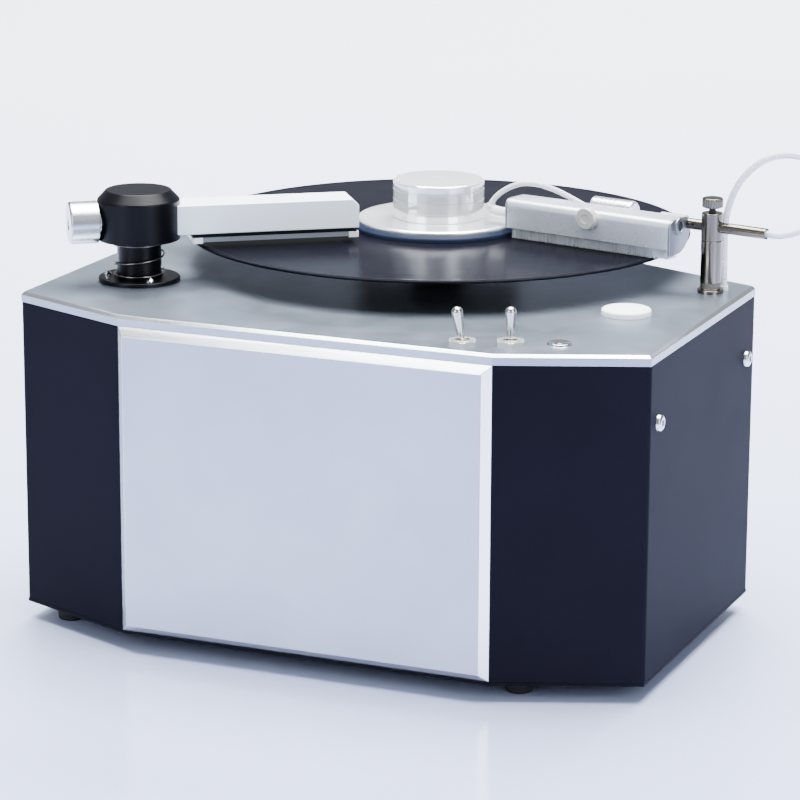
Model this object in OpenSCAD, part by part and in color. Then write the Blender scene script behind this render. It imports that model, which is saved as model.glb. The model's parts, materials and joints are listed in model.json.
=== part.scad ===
// Record cleaning machine: an eight-sided case with a platter, a suction arm on a
// sprung column at the left and a wet brush on a post at the right.
// Millimetres. +X right, +Y back, +Z up. The origin is on the floor, under the middle
// of the machine with its record. Inside the modules, x = 0 is the middle of the case
// and y = 0 is the line of its front corners.

/* [Case] */
// Width of the case
case_w = 381; // [370:1:400]
// Depth of the case
case_d = 249; // [244:1:262]
// Width of the flat front and of the flat rear
front_w = 224; // [210:1:236]
// How far the slanted corners run back
corner_run = 31.7; // [24:0.1:40]
// Height of the walls
wall_h = 178; // [172:1:200]
// Thickness of the folded side covers and of the rear panel
cover_t = 3; // [2:0.5:4]
// Width of the bevel round the front panel, which stands proud by as much
front_bevel = 4.7; // [2:0.1:7]
// Thickness of the top plate
plate_t = 6; // [4:0.5:10]
// Chamfer round the top plate's upper edge
plate_edge = 1.7; // [0.5:0.1:2.5]
// Thickness of the base plate
base_t = 2; // [1.5:0.5:4]
// Height of a rubber foot
foot_h = 10; // [6:1:16]
// Diameter of a rubber foot
foot_d = 17; // [12:1:24]
// Length of a corner post's legs along the walls
post_leg = 24; // [21:1:30]
// Thickness of a corner post
post_t = 10; // [8:0.5:14]
// Distance of the left feet from the case's left side
foot_side = 23.5; // [20:0.5:40]
// Distance of the left feet from the front line and from the rear
foot_end = 41; // [38:0.5:60]
// Distance of the right feet to the right of the front panel's corner
foot_past = 7.6; // [0:0.1:12]
// Distance of the right feet from the front line and from the rear
foot_in = 26.6; // [20:0.1:40]
// Head diameter of a screw in the side covers
cover_screw_d = 10; // [8:0.5:12]
// Head height of a screw in the side covers
cover_screw_h = 2.8; // [2:0.1:4]
// Distance of the cover screws below the top plate
cover_screw_drop = 34.2; // [20:0.1:60]
// Distance of the cover screws from the folds beside them
cover_screw_in = 14.5; // [10:0.1:17]

/* [Record and clamp] */
// Diameter of the record
record_d = 301; // [250:1:305]
// Thickness of the record
record_t = 1.8; // [1:0.1:3]
// Height of the record's face above the top plate
record_h = 19; // [18:0.5:24]
// Distance of the spindle to the right of the case's middle
spindle_x = -7; // [-10:0.5:0]
// Distance of the spindle from the case's rear
spindle_back = 35; // [33:0.5:45]
// Diameter of the platter under the record
platter_d = 98; // [80:1:104]
// Thickness of the platter
platter_t = 7.5; // [4:0.5:10]
// Diameter of the hub under the platter
hub_d = 32; // [24:1:40]
// Diameter of the seal ring on the label
ring_d = 102; // [90:1:106]
// Height of the seal ring
ring_h = 4.2; // [3.5:0.1:8]
// Bevel of the seal ring's upper edge
ring_bevel = 2; // [1:0.1:3]
// Diameter of the disc on the seal ring
disc_d = 97; // [80:1:101]
// Thickness of the disc
disc_t = 2.2; // [1.5:0.1:4]
// Diameter of the clamp puck
puck_d = 54.5; // [40:0.5:60]
// Height of the clamp puck
puck_h = 23.3; // [16:0.1:28]

/* [Suction arm] */
// Distance of the column from the case's left side
column_in = 48; // [44:0.5:52]
// Distance of the column behind the front line
column_y = 86.6; // [82:0.5:92]
// Diameter of the column
column_d = 25.8; // [24:0.1:27]
// Diameter of the flange round the column
flange_d = 47.5; // [44:0.5:50]
// Thickness of the flange
flange_t = 2.5; // [2:0.5:4]
// Diameter of the hub on top of the column
cap_d = 48; // [44:1:52]
// Height of the hub's underside above the top plate
cap_h0 = 24.6; // [23:0.1:25.5]
// Height of the hub's straight side
cap_side = 23.4; // [22:0.1:25]
// Height of the hub's slanted shoulder
cap_shoulder = 5.6; // [3:0.1:7]
// Diameter of the hub's flat top
cap_top_d = 37.5; // [30:0.5:42]
// Direction of the arm at rest, from +X
arm_turn = 35.8; // [30:0.1:38]
// Gap between the arm's tip and the seal ring when the arm points at the spindle
tip_gap = 6.8; // [4:0.1:20]
// Width of the arm
arm_w = 23.5; // [20:0.5:26]
// Height of the arm
arm_h = 17.2; // [15:0.1:18]
// Height of the arm's underside above the top plate
arm_h0 = 27.7; // [27.5:0.1:28.5]
// Wall of the arm's tube
arm_wall = 2; // [1.5:0.5:3]
// Thickness of the gasket under the arm
gasket_t = 2.2; // [0.6:0.1:2.6]
// Height of the nozzle bar under the gasket
nozzle_t = 2.9; // [2.4:0.1:4]
// Width of the suction slot
slot_w = 2; // [1:0.5:3]
// Diameter of the spring's wire
wire_d = 1.2; // [1:0.1:1.3]
// Mean diameter of the spring
spring_d = 28.8; // [28.6:0.1:29.4]
// Rise of the spring's open turns
spring_pitch = 11; // [10:0.5:12]
// Diameter of the counterweight
weight_d = 24.6; // [18:0.1:26]
// Distance of the counterweight's end from the column's axis
weight_out = 41; // [34:0.5:44]
// Drop of the counterweight below the middle of the hub
weight_drop = 1; // [0:0.1:2]

/* [Brush post] */
// Distance of the post from the case's right side
post_in = 18.9; // [17:0.1:24]
// Distance of the post from the case's rear
post_back = 58.4; // [54:0.1:62]
// Diameter of the post
post_d = 12.2; // [11:0.1:12.4]
// Height of the fixed post above the top plate
post_h = 30.5; // [28:0.5:32]
// Height of the swivel block on the post
block_h = 16.1; // [15:0.1:18]
// Diameter of the thumb screw's head
thumb_d = 12; // [10:0.5:14]
// Height of the thumb screw's head
thumb_h = 5.9; // [4:0.1:8]
// Length of the thumb screw's neck that shows
thumb_neck = 3; // [2:0.5:5]
// Diameter of the rod that holds the brush
rod_d = 6.4; // [5.5:0.1:6.6]
// Bore through the rod
rod_bore = 4.4; // [4.2:0.1:4.8]
// Height of the rod's axis above the top plate
rod_h = 38.4; // [37.8:0.1:39]
// Length of the rod to the right of the post's axis
rod_out = 35.6; // [32:0.1:38]
// Turn of the rod towards the back, from -X
rod_turn = 12; // [9:0.5:14]

/* [Brush] */
// Distance of the head's right end from the post's axis
head_s0 = 15.5; // [15:0.1:17]
// Gap along the rod between the brush head and the seal ring
head_gap = 0.7; // [0.6:0.05:8]
// Height of the housing's front
head_h = 16.9; // [16:0.1:18]
// Distance of the housing's front from the rod's axis
head_front = 20.9; // [20.5:0.1:21.5]
// Height of the rod's axis above the housing's underside
rod_in_head = 12.5; // [12:0.1:13]
// Thickness of an end plate
end_t = 1.5; // [1:0.1:2.5]
// How far the end plates reach below the housing
end_drop = 3.6; // [2:0.1:4]
// Gap between the bristles and the record
bristle_gap = 0.15; // [0.1:0.05:0.5]
// Rows of bristles
bristle_rows = 4; // [2:1:4]
// Bristles in a row
bristle_count = 88; // [60:1:90]
// Side of a bristle
bristle_w = 0.7; // [0.4:0.05:0.8]
// Diameter of the knob on the housing's front
knob_d = 13; // [8:0.5:14]
// How far the knob stands proud
knob_out = 4.5; // [3:0.5:6]
// Distance of the knob from the post's axis
knob_s = 70; // [50:0.5:90]
// Diameter of the dosing cylinder
dose_d = 13; // [11:0.5:14]
// Length of the dosing cylinder
dose_l = 28; // [24:0.5:28.5]
// Distance of the dosing cylinder's left end from the head's far end
dose_in = 43.4; // [40:0.1:48]

/* [Switches and filler] */
// Distance of the switch row inside the slanted corner
row_in = 25.5; // [24:0.5:28]
// Place of the left switch along the corner
left_s = -16; // [-18:0.5:-15]
// Place of the right switch along the corner
right_s = 10; // [9:0.5:11]
// Place of the lamp along the corner
lamp_s = 36.5; // [34:0.5:40]
// Size of a switch nut across its flats
nut_w = 14.6; // [13:0.1:15]
// Thickness of a switch nut
nut_t = 2; // [1.5:0.5:3]
// Length of a lever above its nut
lever_l = 18.6; // [12:0.1:20]
// Diameter of a lever's domed end
lever_d = 6.3; // [5:0.1:7]
// Diameter of a lever where it leaves the nut
lever_d0 = 3.8; // [3:0.1:4.2]
// Lean of the left lever
left_lean = 9; // [5:0.5:11]
// Diameter of the lamp's bezel
bezel_d = 14.5; // [11:0.5:15]
// Thickness of the lamp's bezel
bezel_t = 1; // [0.8:0.1:2.5]
// Diameter of the lamp's lens
lens_d = 5; // [4:0.5:6]
// Diameter of the filler cap
filler_d = 28; // [26:1:32]
// Height of the filler cap
filler_h = 3.5; // [2:0.5:5]
// Distance of the filler cap from the case's right side
filler_in = 44.5; // [42:0.5:48]
// Distance of the filler cap behind the front line
filler_y = 118; // [112:1:124]

/* [Inside] */
// Diameter of the spindle
spindle_d = 10; // [8:0.5:12]
// Diameter of the spindle's end in the record's hole
tip_d = 7.14; // [6.5:0.01:7.15]
// Outside diameter of the bearing housing
bearing_d = 30; // [24:1:36]
// Length of the bearing housing below the top plate
bearing_l = 50; // [40:1:55]
// Diameter of the platter's pulley
pulley_d = 50; // [40:1:52]
// Diameter of the motor's pulley
motor_pulley_d = 20; // [16:1:24]
// Height of the pulleys
pulley_h = 10; // [8:1:12]
// Distance between the motor's axis and the spindle
motor_gap = 74; // [70:1:80]
// Diameter of the drive motor
motor_d = 45; // [38:1:50]
// Thickness of the drive belt
belt_t = 1; // [0.8:0.1:1.5]
// Diameter of the vacuum pump
pump_d = 90; // [70:1:96]
// Height of the vacuum pump
pump_h = 88; // [70:1:95]
// Depth of the waste tank
tank_w = 80; // [70:1:82]
// Height of the waste tank
tank_h = 108; // [90:1:112]
// Wall of both tanks
tank_wall = 3; // [2:0.5:4]
// Outside diameter of the drain pipe
drain_d = 10; // [8:0.5:12]
// Bore of the drain pipe
drain_bore = 6; // [4:0.5:7]
// Length of drain pipe behind the rear panel
drain_out = 18; // [12:1:24]

/* [Hidden] */

// Clearances
run_gap = 0.05;
soft_gap = 0.3;
seam_gap = 0.2;
turn_gap = 0.6;
fine = 96;
round_n = 64;
hull_n = 32;

// Levels above the floor
base_z = foot_h;
wall_z = base_z + base_t;
plate_z = wall_z + wall_h;
top_z = plate_z + plate_t;

// Places
spindle_y = case_d - spindle_back;
column_x = -case_w / 2 + column_in;
post_x = case_w / 2 - post_in;
post_y = case_d - post_back;
filler_x = case_w / 2 - filler_in;
motor_y = spindle_y - motor_gap;
fitting_dx = 5.1;
fitting_dy = 9;

// Reach of the arm and of the brush head, which both end beside the seal ring
arm_l = norm([spindle_x - column_x, spindle_y - column_y]) - ring_d / 2 - tip_gap;
spindle_s = (post_x - spindle_x) * cos(rod_turn) + (spindle_y - post_y) * sin(rod_turn);
head_s1 = spindle_s - ring_d / 2 - head_gap;
head_l = head_s1 - head_s0;
dose_s = head_s1 - dose_in;

// The box's middle, without the hoses
x_low = -case_w / 2 - cover_screw_h;
x_high = post_x + rod_out * cos(rod_turn) + rod_d / 2 * sin(rod_turn);
y_low = -front_bevel;
y_high = spindle_y + record_d / 2;

// The case's outline, from the front left corner round to the right
outline = [
    [-front_w / 2, 0], [front_w / 2, 0],
    [case_w / 2, corner_run], [case_w / 2, case_d - corner_run],
    [front_w / 2, case_d], [-front_w / 2, case_d],
    [-case_w / 2, case_d - corner_run], [-case_w / 2, corner_run]];

// The route of the fluid hose from the post's axis, as [x, y, height above the top plate]
fluid_route = [
    [5.1, 9, 6], [5, 9, 14], [4.9, 8.8, 24], [5, 8.4, 33], [5.8, 7.8, 42],
    [7.6, 7.2, 50], [10.6, 6.6, 58], [14.8, 6.4, 65.5], [20.4, 6.7, 72],
    [27.4, 7.6, 77.4], [34.9, 8.8, 80.4], [42.4, 9.4, 81.4], [49.9, 9.6, 80.4],
    [56.9, 9.4, 77], [62.4, 8.4, 71.5], [65.6, 6.6, 64.5], [66, 3.2, 57],
    [63.6, -0.8, 50.2], [58.7, -4.8, 44.6], [51.4, -8.2, 40.5], [43, -9.1, 38.4],
    [34.8, -7.4, 38.4], [25, -5.3, 38.4]];
// The brush's route, as [before the head's far end, behind its front, height above the top plate]
brush_route = [
    [43.4, 29.5, 38], [36.9, 29.5, 38.4], [29.9, 28.4, 41.3], [22.9, 26.2, 44.7],
    [15.9, 23.8, 47.4], [7.9, 21, 49.2], [-0.1, 18, 49], [-7.1, 14.8, 46.2],
    [-12.5, 11.4, 41.8], [-15.5, 8.6, 37]];
fluid_hose_d = 4;
brush_hose_d = 3.2;

function unit(v) = v / norm(v);
// Corner i of an outline, drawn in by t along both of its walls
function inset_at(p, i, t) = let(
        n = len(p),
        a = unit(p[i] - p[(i + n - 1) % n]),
        b = unit(p[(i + 1) % n] - p[i]),
        na = [-a[1], a[0]],
        nb = [-b[1], b[0]])
    p[i] + t * (na + nb) / (1 + na * nb);
function inset(p, t) = [for (i = [0:len(p) - 1]) inset_at(p, i, t)];
// The strip of wall that runs past the corners in run, t thick
function wall_strip(run, t) = concat(
    [for (i = run) outline[i]],
    [for (k = [len(run) - 1:-1:0]) inset_at(outline, run[k], t)]);
// Points on an arc round [x, y]
function arc(x, y, r, a0, a1, n) =
    [for (k = [0:n]) let(a = a0 + (a1 - a0) * k / n) [x + r * cos(a), y + r * sin(a)]];

// The direction of a route at point i
function along(p, i) = unit(p[min(i + 1, len(p) - 1)] - p[max(i - 1, 0)]);
// A ring of n points round point i, set out from the direction side
function ring(p, i, r, n, side) = let(
        t = along(p, i),
        a = unit(cross(t, side)),
        b = cross(t, a))
    [for (k = [0:n - 1]) p[i] + r * (cos(360 * k / n) * a + sin(360 * k / n) * b)];

// One unbroken tube swept along a route
module swept(p, r, n, side) {
    m = len(p);
    points = [for (i = [0:m - 1]) each ring(p, i, r, n, side)];
    sides = [for (i = [0:m - 2]) for (k = [0:n - 1])
        let(a = i * n + k, b = i * n + (k + 1) % n)
        each [[a, b, a + n], [b, b + n, a + n]]];
    first = [for (k = [1:n - 2]) [0, k + 1, k]];
    last = [for (k = [1:n - 2]) [(m - 1) * n, (m - 1) * n + k, (m - 1) * n + k + 1]];
    polyhedron(points, concat(sides, first, last));
}

// From the case's own frame to the machine's frame
module in_case() {
    translate([-(x_low + x_high) / 2, -(y_low + y_high) / 2, 0]) children();
}

module at_spindle(h) {
    in_case() translate([spindle_x, spindle_y, top_z + h]) children();
}

module at_column(h) {
    in_case() translate([column_x, column_y, top_z + h]) children();
}

// On the arm, +X runs to its tip
module at_arm(h) {
    at_column(h) rotate([0, 0, arm_turn]) children();
}

module at_post(h) {
    in_case() translate([post_x, post_y, top_z + h]) children();
}

// On the brush, +X runs along the rod to the head's far end and +Y to its front
module at_head() {
    at_post(rod_h) rotate([0, 0, 180 - rod_turn]) children();
}

// On the switch row, +X runs along the slanted corner
module at_row(s, h) {
    corner = atan2(corner_run, (case_w - front_w) / 2);
    in_case() translate([front_w / 2, 0, top_z + h]) rotate([0, 0, corner])
        translate([s, row_in, 0]) children();
}

module disc(d, h) {
    cylinder(d = d, h = h, $fn = fine);
}

// A drill from below a face to above it
module drill(d, z0, z1) {
    translate([0, 0, z0]) cylinder(d = d, h = z1 - z0, $fn = round_n);
}

module tube(d, bore, h) {
    difference() {
        disc(d, h);
        drill(bore, -1, h + 1);
    }
}

// Case

module base_plate() color("#17181f") in_case() {
    translate([0, 0, base_z]) linear_extrude(base_t) polygon(outline);
}

module front_panel() color("#b9c0cb") in_case() {
    translate([0, 0, wall_z]) {
        linear_extrude(wall_h) polygon(wall_strip([0, 1], cover_t));
        intersection() {
            linear_extrude(wall_h) polygon([
                [-front_w / 2, 0], [-front_w / 2 + front_bevel, -front_bevel],
                [front_w / 2 - front_bevel, -front_bevel], [front_w / 2, 0]]);
            translate([-front_w / 2, 0, 0]) rotate([90, 0, 90])
                linear_extrude(front_w) polygon([
                    [0, 0], [0, wall_h], [-front_bevel, wall_h - front_bevel],
                    [-front_bevel, front_bevel]]);
        }
    }
}

screw_y = corner_run + cover_screw_in;
screw_z = plate_z - cover_screw_drop;
screw_shank = 5;

// The four places of the cover screws, as [side, y]
module at_cover_screws() {
    for (side = [-1, 1])
        for (y = [screw_y, case_d - screw_y])
            translate([side * case_w / 2, y, screw_z]) rotate([0, side * 90, 0]) children();
}

module cover_holes() {
    at_cover_screws() drill(screw_shank + 2 * run_gap, -12, 2);
}

module left_cover() color("#23242e") in_case() {
    difference() {
        translate([0, 0, wall_z]) linear_extrude(wall_h)
            polygon(wall_strip([5, 6, 7, 0], cover_t));
        cover_holes();
    }
}

module right_cover() color("#23242e") in_case() {
    difference() {
        translate([0, 0, wall_z]) linear_extrude(wall_h)
            polygon(wall_strip([1, 2, 3, 4], cover_t));
        cover_holes();
    }
}

// The waste tank reaches from the column to the drain, which is in the rear panel
drain_x = drain_d / 2 + 6.5 - front_w / 2;
tank_x0 = column_x - 28;
tank_x1 = drain_x + drain_d;
drain_z = wall_z + 14;
socket_x = 80;
socket_z = wall_z + 40;
socket_d = 12;

module rear_panel() color("#23242e") in_case() {
    difference() {
        translate([0, 0, wall_z]) linear_extrude(wall_h)
            polygon(wall_strip([4, 5], cover_t));
        for (hole = [[drain_x, drain_z, drain_d], [socket_x, socket_z, socket_d]])
            translate([hole[0], case_d, hole[1]]) rotate([90, 0, 0])
                drill(hole[2] + 2 * run_gap, -1, cover_t + 1);
    }
}

bush_d = 34;
switch_hole = 12;
post_stud = 8;
post_nut = 14;
post_nut_h = 5;
fitting_d = 5.2;
fitting_h = 6;
neck_d = 24;
neck_bore = 20;
lamp_hole = 8;

module top_plate() color("#b4b8bd") difference() {
    in_case() translate([0, 0, plate_z]) hull() {
        linear_extrude(plate_t - plate_edge) polygon(outline);
        linear_extrude(plate_t) polygon(inset(outline, plate_edge));
    }
    at_spindle(0) drill(spindle_d + 2 * turn_gap, -plate_t - 1, 1);
    at_column(0) drill(bush_d + 2 * run_gap, -plate_t - 1, 1);
    at_post(0) drill(post_stud + 2 * run_gap, -plate_t - 1, 1);
    at_post(0) translate([fitting_dx, fitting_dy, 0])
        drill(fitting_d + 2 * run_gap, -plate_t - 1, 1);
    for (s = [left_s, right_s])
        at_row(s, 0) drill(switch_hole + 2 * run_gap, -plate_t - 1, 1);
    at_row(lamp_s, 0) drill(lamp_hole + 2 * run_gap, -plate_t - 1, 1);
    in_case() translate([filler_x, filler_y, top_z])
        drill(neck_d + 2 * run_gap, -plate_t - 1, 1);
}

// A kite-shaped post in each outer corner, flat against both covers
module corner_posts() color("#8b8f96") in_case() {
    difference() {
        for (i = [2, 3, 6, 7]) {
            a = unit(outline[i] - outline[i - 1]);
            b = unit(outline[(i + 1) % 8] - outline[i]);
            p = inset_at(outline, i, cover_t);
            translate([0, 0, wall_z]) linear_extrude(wall_h) polygon([
                p - post_leg * a, p, p + post_leg * b,
                inset_at(outline, i, cover_t + post_t)]);
        }
        cover_holes();
    }
}

module panel_screws() color("#c9ccd1") in_case() {
    at_cover_screws() difference() {
        union() {
            intersection() {
                cylinder(d = cover_screw_d, h = cover_screw_h, $fn = round_n);
                translate([0, 0, cover_screw_h - cover_screw_d * 0.75])
                    sphere(d = cover_screw_d * 1.5, $fn = round_n);
            }
            drill(screw_shank, -11, 1);
        }
        translate([0, 0, 1]) cylinder(d = 3.6, h = cover_screw_h, $fn = 6);
    }
}

module feet() color("#141417") in_case() {
    left = -case_w / 2 + foot_side;
    right = front_w / 2 + foot_past;
    for (foot = [[left, foot_end], [left, case_d - foot_end],
            [right, foot_in], [right, case_d - foot_in]])
        translate([foot[0], foot[1], 0]) difference() {
            cylinder(d1 = foot_d - 1.5, d2 = foot_d, h = foot_h, $fn = round_n);
            translate([0, 0, -1]) cylinder(d = 6.5, h = 5, $fn = round_n);
        }
}

// Suction column and arm

screw_ring = 18.9;
screw_turn = 40;

module at_flange_screws() {
    for (a = [0:120:240]) rotate([0, 0, a + screw_turn]) translate([screw_ring, 0, 0])
        children();
}

module column_flange() color("#1b1b20") at_column(0) difference() {
    disc(flange_d, flange_t);
    drill(column_d + 4 * run_gap, -1, flange_t + 1);
    at_flange_screws() drill(3.2, -1, flange_t + 1);
}

module flange_screws() color("#cfd2d6") at_column(flange_t) at_flange_screws() {
    difference() {
        cylinder(d = 5, h = 2, $fn = hull_n);
        translate([0, 0, 1.1]) cylinder(d = 2, h = 2, $fn = 6);
    }
    translate([0, 0, -flange_t + 0.05]) cylinder(d = 3, h = flange_t, $fn = hull_n);
}

bush_l = 25;

module column_bush() color("#b08d4f") at_column(-bush_l) tube(bush_d, column_d + 2 * run_gap, bush_l);

// The spring stands on the flange and ends under its seat. Its first turn is closed.
seat_t = 1.2;
spring_room = cap_h0 - seat_t - flange_t;
closed_pitch = wire_d + 0.6;
curl_rings = 8;
// Rings lie on a polygon, so its corners stand out to keep the mean diameter
curl_r = spring_d / (1 + cos(180 / curl_rings));
spring_rise = spring_room - wire_d;
open_turns = (spring_rise - 1.5 * closed_pitch) / spring_pitch;
spring_turns = 1.5 + open_turns;
function spring_z(t) = t < 1 ? closed_pitch * t
    : t < 1 + open_turns ? closed_pitch + spring_pitch * (t - 1)
    : closed_pitch * (t - open_turns) + spring_pitch * open_turns;
spring_steps = ceil(spring_turns * curl_rings);
spring_path = [for (i = [0:spring_steps])
    let(t = spring_turns * i / spring_steps, a = 360 * t)
    [curl_r * cos(a), curl_r * sin(a), wire_d / 2 + spring_z(t)]];
// The least gap between turns, on points along their sides at least three quarters of a turn apart
spring_fine = [for (i = [0:spring_steps - 1]) for (f = [0:0.25:0.75])
    (1 - f) * spring_path[i] + f * spring_path[i + 1]];
spring_gap = min([for (i = [0:len(spring_fine) - 1]) for (j = [i + 24:1:len(spring_fine) - 1])
    norm(spring_fine[i] - spring_fine[j]) - wire_d]);
echo(spring_least_gap = spring_gap);

module column_spring() color("#c8cbd0") at_column(flange_t)
    swept(spring_path, wire_d / 2, 6, [0, 0, 1]);

module spring_seat() color("#2a2a30") at_column(cap_h0 - seat_t)
    tube(spring_d + 4, column_d + 2 * soft_gap, seat_t);

air_bore = 18;
column_foot = 46;

module suction_column() color("#17171b") at_column(-column_foot)
    tube(column_d, air_bore, column_foot + cap_h0);

// The arm's tube is let into the hub as far as this from the axis
tube_s0 = 16;
tip_bevel = 2.6;
arm_mid = arm_h0 + arm_h / 2;
slot_s0 = 36;
end_l = 6;
bar_s0 = 30;
bar_in = 1.2;

module arm_hub() color("#1a1a1f") at_arm(cap_h0) difference() {
    union() {
        disc(cap_d, cap_side);
        translate([0, 0, cap_side])
            cylinder(d1 = cap_d, d2 = cap_top_d, h = cap_shoulder, $fn = fine);
    }
    drill(air_bore, -1, arm_h0 + arm_h - arm_wall - cap_h0);
    translate([tube_s0, -arm_w / 2, arm_h0 - cap_h0]) cube([cap_d, arm_w, arm_h]);
    translate([0, arm_wall - arm_w / 2, arm_h0 + arm_wall - cap_h0])
        cube([cap_d, arm_w - 2 * arm_wall, arm_h - 2 * arm_wall]);
}

module suction_tube() color("#c3c7cd") at_arm(arm_h0) difference() {
    l = arm_l - tube_s0;
    translate([tube_s0, 0, 0]) rotate([90, 0, 90]) difference() {
        linear_extrude(l) square_tube(arm_w, arm_h);
        translate([0, 0, -1]) linear_extrude(l - arm_wall + 1)
            translate([0, arm_wall]) square_tube(arm_w - 2 * arm_wall, arm_h - 2 * arm_wall);
    }
    translate([arm_l, 0, arm_h]) rotate([0, 45, 0])
        cube([2 * tip_bevel, 2 * arm_w, 2 * tip_bevel], center = true);
    translate([slot_s0, -slot_w / 2, -1]) cube([arm_l - end_l - slot_s0, slot_w, arm_wall + 2]);
}

// A rectangle that stands on the X axis
module square_tube(w, h) {
    translate([-w / 2, 0]) square([w, h]);
}

module nozzle_gasket() color("#3b3e45") at_arm(arm_h0 - gasket_t) difference() {
    translate([bar_s0, bar_in - arm_w / 2, 0]) cube([arm_l - bar_s0 - 1, arm_w - 2 * bar_in, gasket_t]);
    translate([slot_s0, -slot_w / 2, -1]) cube([arm_l - end_l - slot_s0, slot_w, gasket_t + 2]);
}

bar_h0 = arm_h0 - gasket_t - nozzle_t;
end_h = nozzle_t + 0.8;

module nozzle_bar() color("#cdd2d8") at_arm(bar_h0) difference() {
    translate([bar_s0 + end_l, bar_in - arm_w / 2, 0])
        cube([arm_l - end_l - bar_s0 - end_l, arm_w - 2 * bar_in, nozzle_t]);
    translate([slot_s0, -slot_w / 2, -1]) cube([arm_l - end_l - slot_s0, slot_w, nozzle_t + 2]);
}

module nozzle_ends() color("#f2f3f5") at_arm(arm_h0 - gasket_t - end_h)
    for (s = [bar_s0, arm_l - end_l])
        translate([s, bar_in - arm_w / 2, 0]) cube([end_l, arm_w - 2 * bar_in, end_h]);

weight_neck = 16;

// The counterweight ends flat against the hub's round side, and its neck reaches in
module counterweight() color("#d5d7da") at_arm(cap_h0 + cap_side / 2 - weight_drop) difference() {
    translate([-weight_out, 0, 0]) rotate([0, 90, 0]) union() {
        cylinder(d1 = weight_d - 2, d2 = weight_d, h = 1, $fn = fine);
        translate([0, 0, 1]) cylinder(d = weight_d, h = weight_out - cap_d / 2 - 1, $fn = fine);
        drill(weight_neck, 1, weight_out - 16);
    }
    translate([0, 0, -cap_d]) cylinder(d = cap_d, h = 2 * cap_d, $fn = fine);
}

// Platter, record and clamp

spindle_foot = bearing_l + plate_t + 18;
under_record = record_h - record_t;
on_disc = record_h + ring_h + disc_t;
tip_len = 12;

module bearing_housing() color("#9a8458") at_spindle(-plate_t - bearing_l) difference() {
    union() {
        disc(bearing_d, bearing_l);
        translate([0, 0, bearing_l - 5]) disc(bearing_d + 18, 5);
    }
    drill(spindle_d + 2 * run_gap, -1, bearing_l + 1);
}

module spindle() color("#c9ccd1") at_spindle(0) {
    translate([0, 0, -spindle_foot]) cylinder(d = spindle_d, h = spindle_foot + under_record, $fn = fine);
    translate([0, 0, under_record])
        cylinder(d = tip_d, h = on_disc + tip_len - 2 - under_record, $fn = fine);
    translate([0, 0, on_disc + tip_len - 2]) cylinder(d1 = tip_d, d2 = 3, h = 2, $fn = fine);
}

module platter() color("#222329") at_spindle(turn_gap) difference() {
    h = under_record - turn_gap;
    union() {
        disc(hub_d, h);
        translate([0, 0, h - platter_t]) disc(platter_d, platter_t);
    }
    drill(spindle_d + 2 * run_gap, -1, h + 1);
}

module record() color("#101014") at_spindle(under_record) difference() {
    disc(record_d, record_t);
    drill(tip_d + 2 * run_gap, -1, record_t + 1);
}

module seal_ring() color("#1d2b52") at_spindle(record_h) difference() {
    union() {
        disc(ring_d, ring_h - ring_bevel);
        translate([0, 0, ring_h - ring_bevel])
            cylinder(d1 = ring_d, d2 = ring_d - 2 * ring_bevel, h = ring_bevel, $fn = fine);
    }
    drill(tip_d + 2 * run_gap, -1, ring_h + 1);
}

module label_disc() color("#d3d6da") at_spindle(record_h + ring_h) difference() {
    union() {
        disc(disc_d, disc_t - 1);
        translate([0, 0, disc_t - 1]) cylinder(d1 = disc_d, d2 = disc_d - 2, h = 1, $fn = fine);
    }
    drill(tip_d + 2 * run_gap, -1, disc_t + 1);
}

// The puck's side has three fine grooves, and its bored underside fits the spindle
module clamp_puck() color("#d9dbde") at_spindle(on_disc) difference() {
    groove = 0.6;
    r = puck_d / 2;
    rotate_extrude($fn = fine) polygon(concat(
        [[0, 0], [r - 0.5, 0], [r, 0.5]],
        [for (k = [1:3]) let(z = puck_h * k / 4)
            each [[r, z - groove / 2], [r - groove, z], [r, z + groove / 2]]],
        [[r, puck_h - 1.6], [r - 0.8, puck_h - 0.8], [0, puck_h]]));
    drill(tip_d + 2 * run_gap, -1, tip_len + 1);
}

module platter_pulley() color("#a8abb0") at_spindle(-spindle_foot + 3) difference() {
    disc(pulley_d, pulley_h);
    drill(spindle_d + 2 * run_gap, -1, pulley_h + 1);
}

pulley_top = -spindle_foot + 3 + pulley_h;

module drive_belt() color("#1c1c1e") at_spindle(-spindle_foot + 3 + pulley_h / 4) {
    linear_extrude(pulley_h / 2) difference() {
        belt_outline(soft_gap + belt_t);
        belt_outline(soft_gap);
    }
}

// The belt's outline, so far outside both pulleys
module belt_outline(out) {
    hull() {
        circle(d = pulley_d + 2 * out, $fn = round_n);
        translate([0, -motor_gap]) circle(d = motor_pulley_d + 2 * out, $fn = round_n);
    }
}

motor_shaft = 4;
motor_top = -plate_t - 10;
motor_l = 40;

module drive_motor() color("#54575c") at_spindle(0) translate([0, -motor_gap, 0]) {
    difference() {
        union() {
            translate([0, 0, motor_top - motor_l]) disc(motor_d, motor_l);
            translate([-30, -30, motor_top]) cube([60, 60, 3]);
        }
        drill(motor_shaft + 2 * run_gap, motor_top - motor_l - 1, motor_top - motor_l + 22);
    }
    for (x = [-24, 24]) for (y = [-24, 24]) translate([x, y, motor_top + 3])
        cylinder(d = 8, h = 7, $fn = hull_n);
}

module motor_pulley() color("#b9bcc0") at_spindle(pulley_top - pulley_h) translate([0, -motor_gap, 0]) {
    disc(motor_pulley_d, pulley_h);
    drill(motor_shaft, pulley_h, motor_top - motor_l + 20 - pulley_top + pulley_h);
}

// Pumps, tanks and board

pump_x = 20;
pump_y = 90;
pump_neck = 24;

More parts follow.
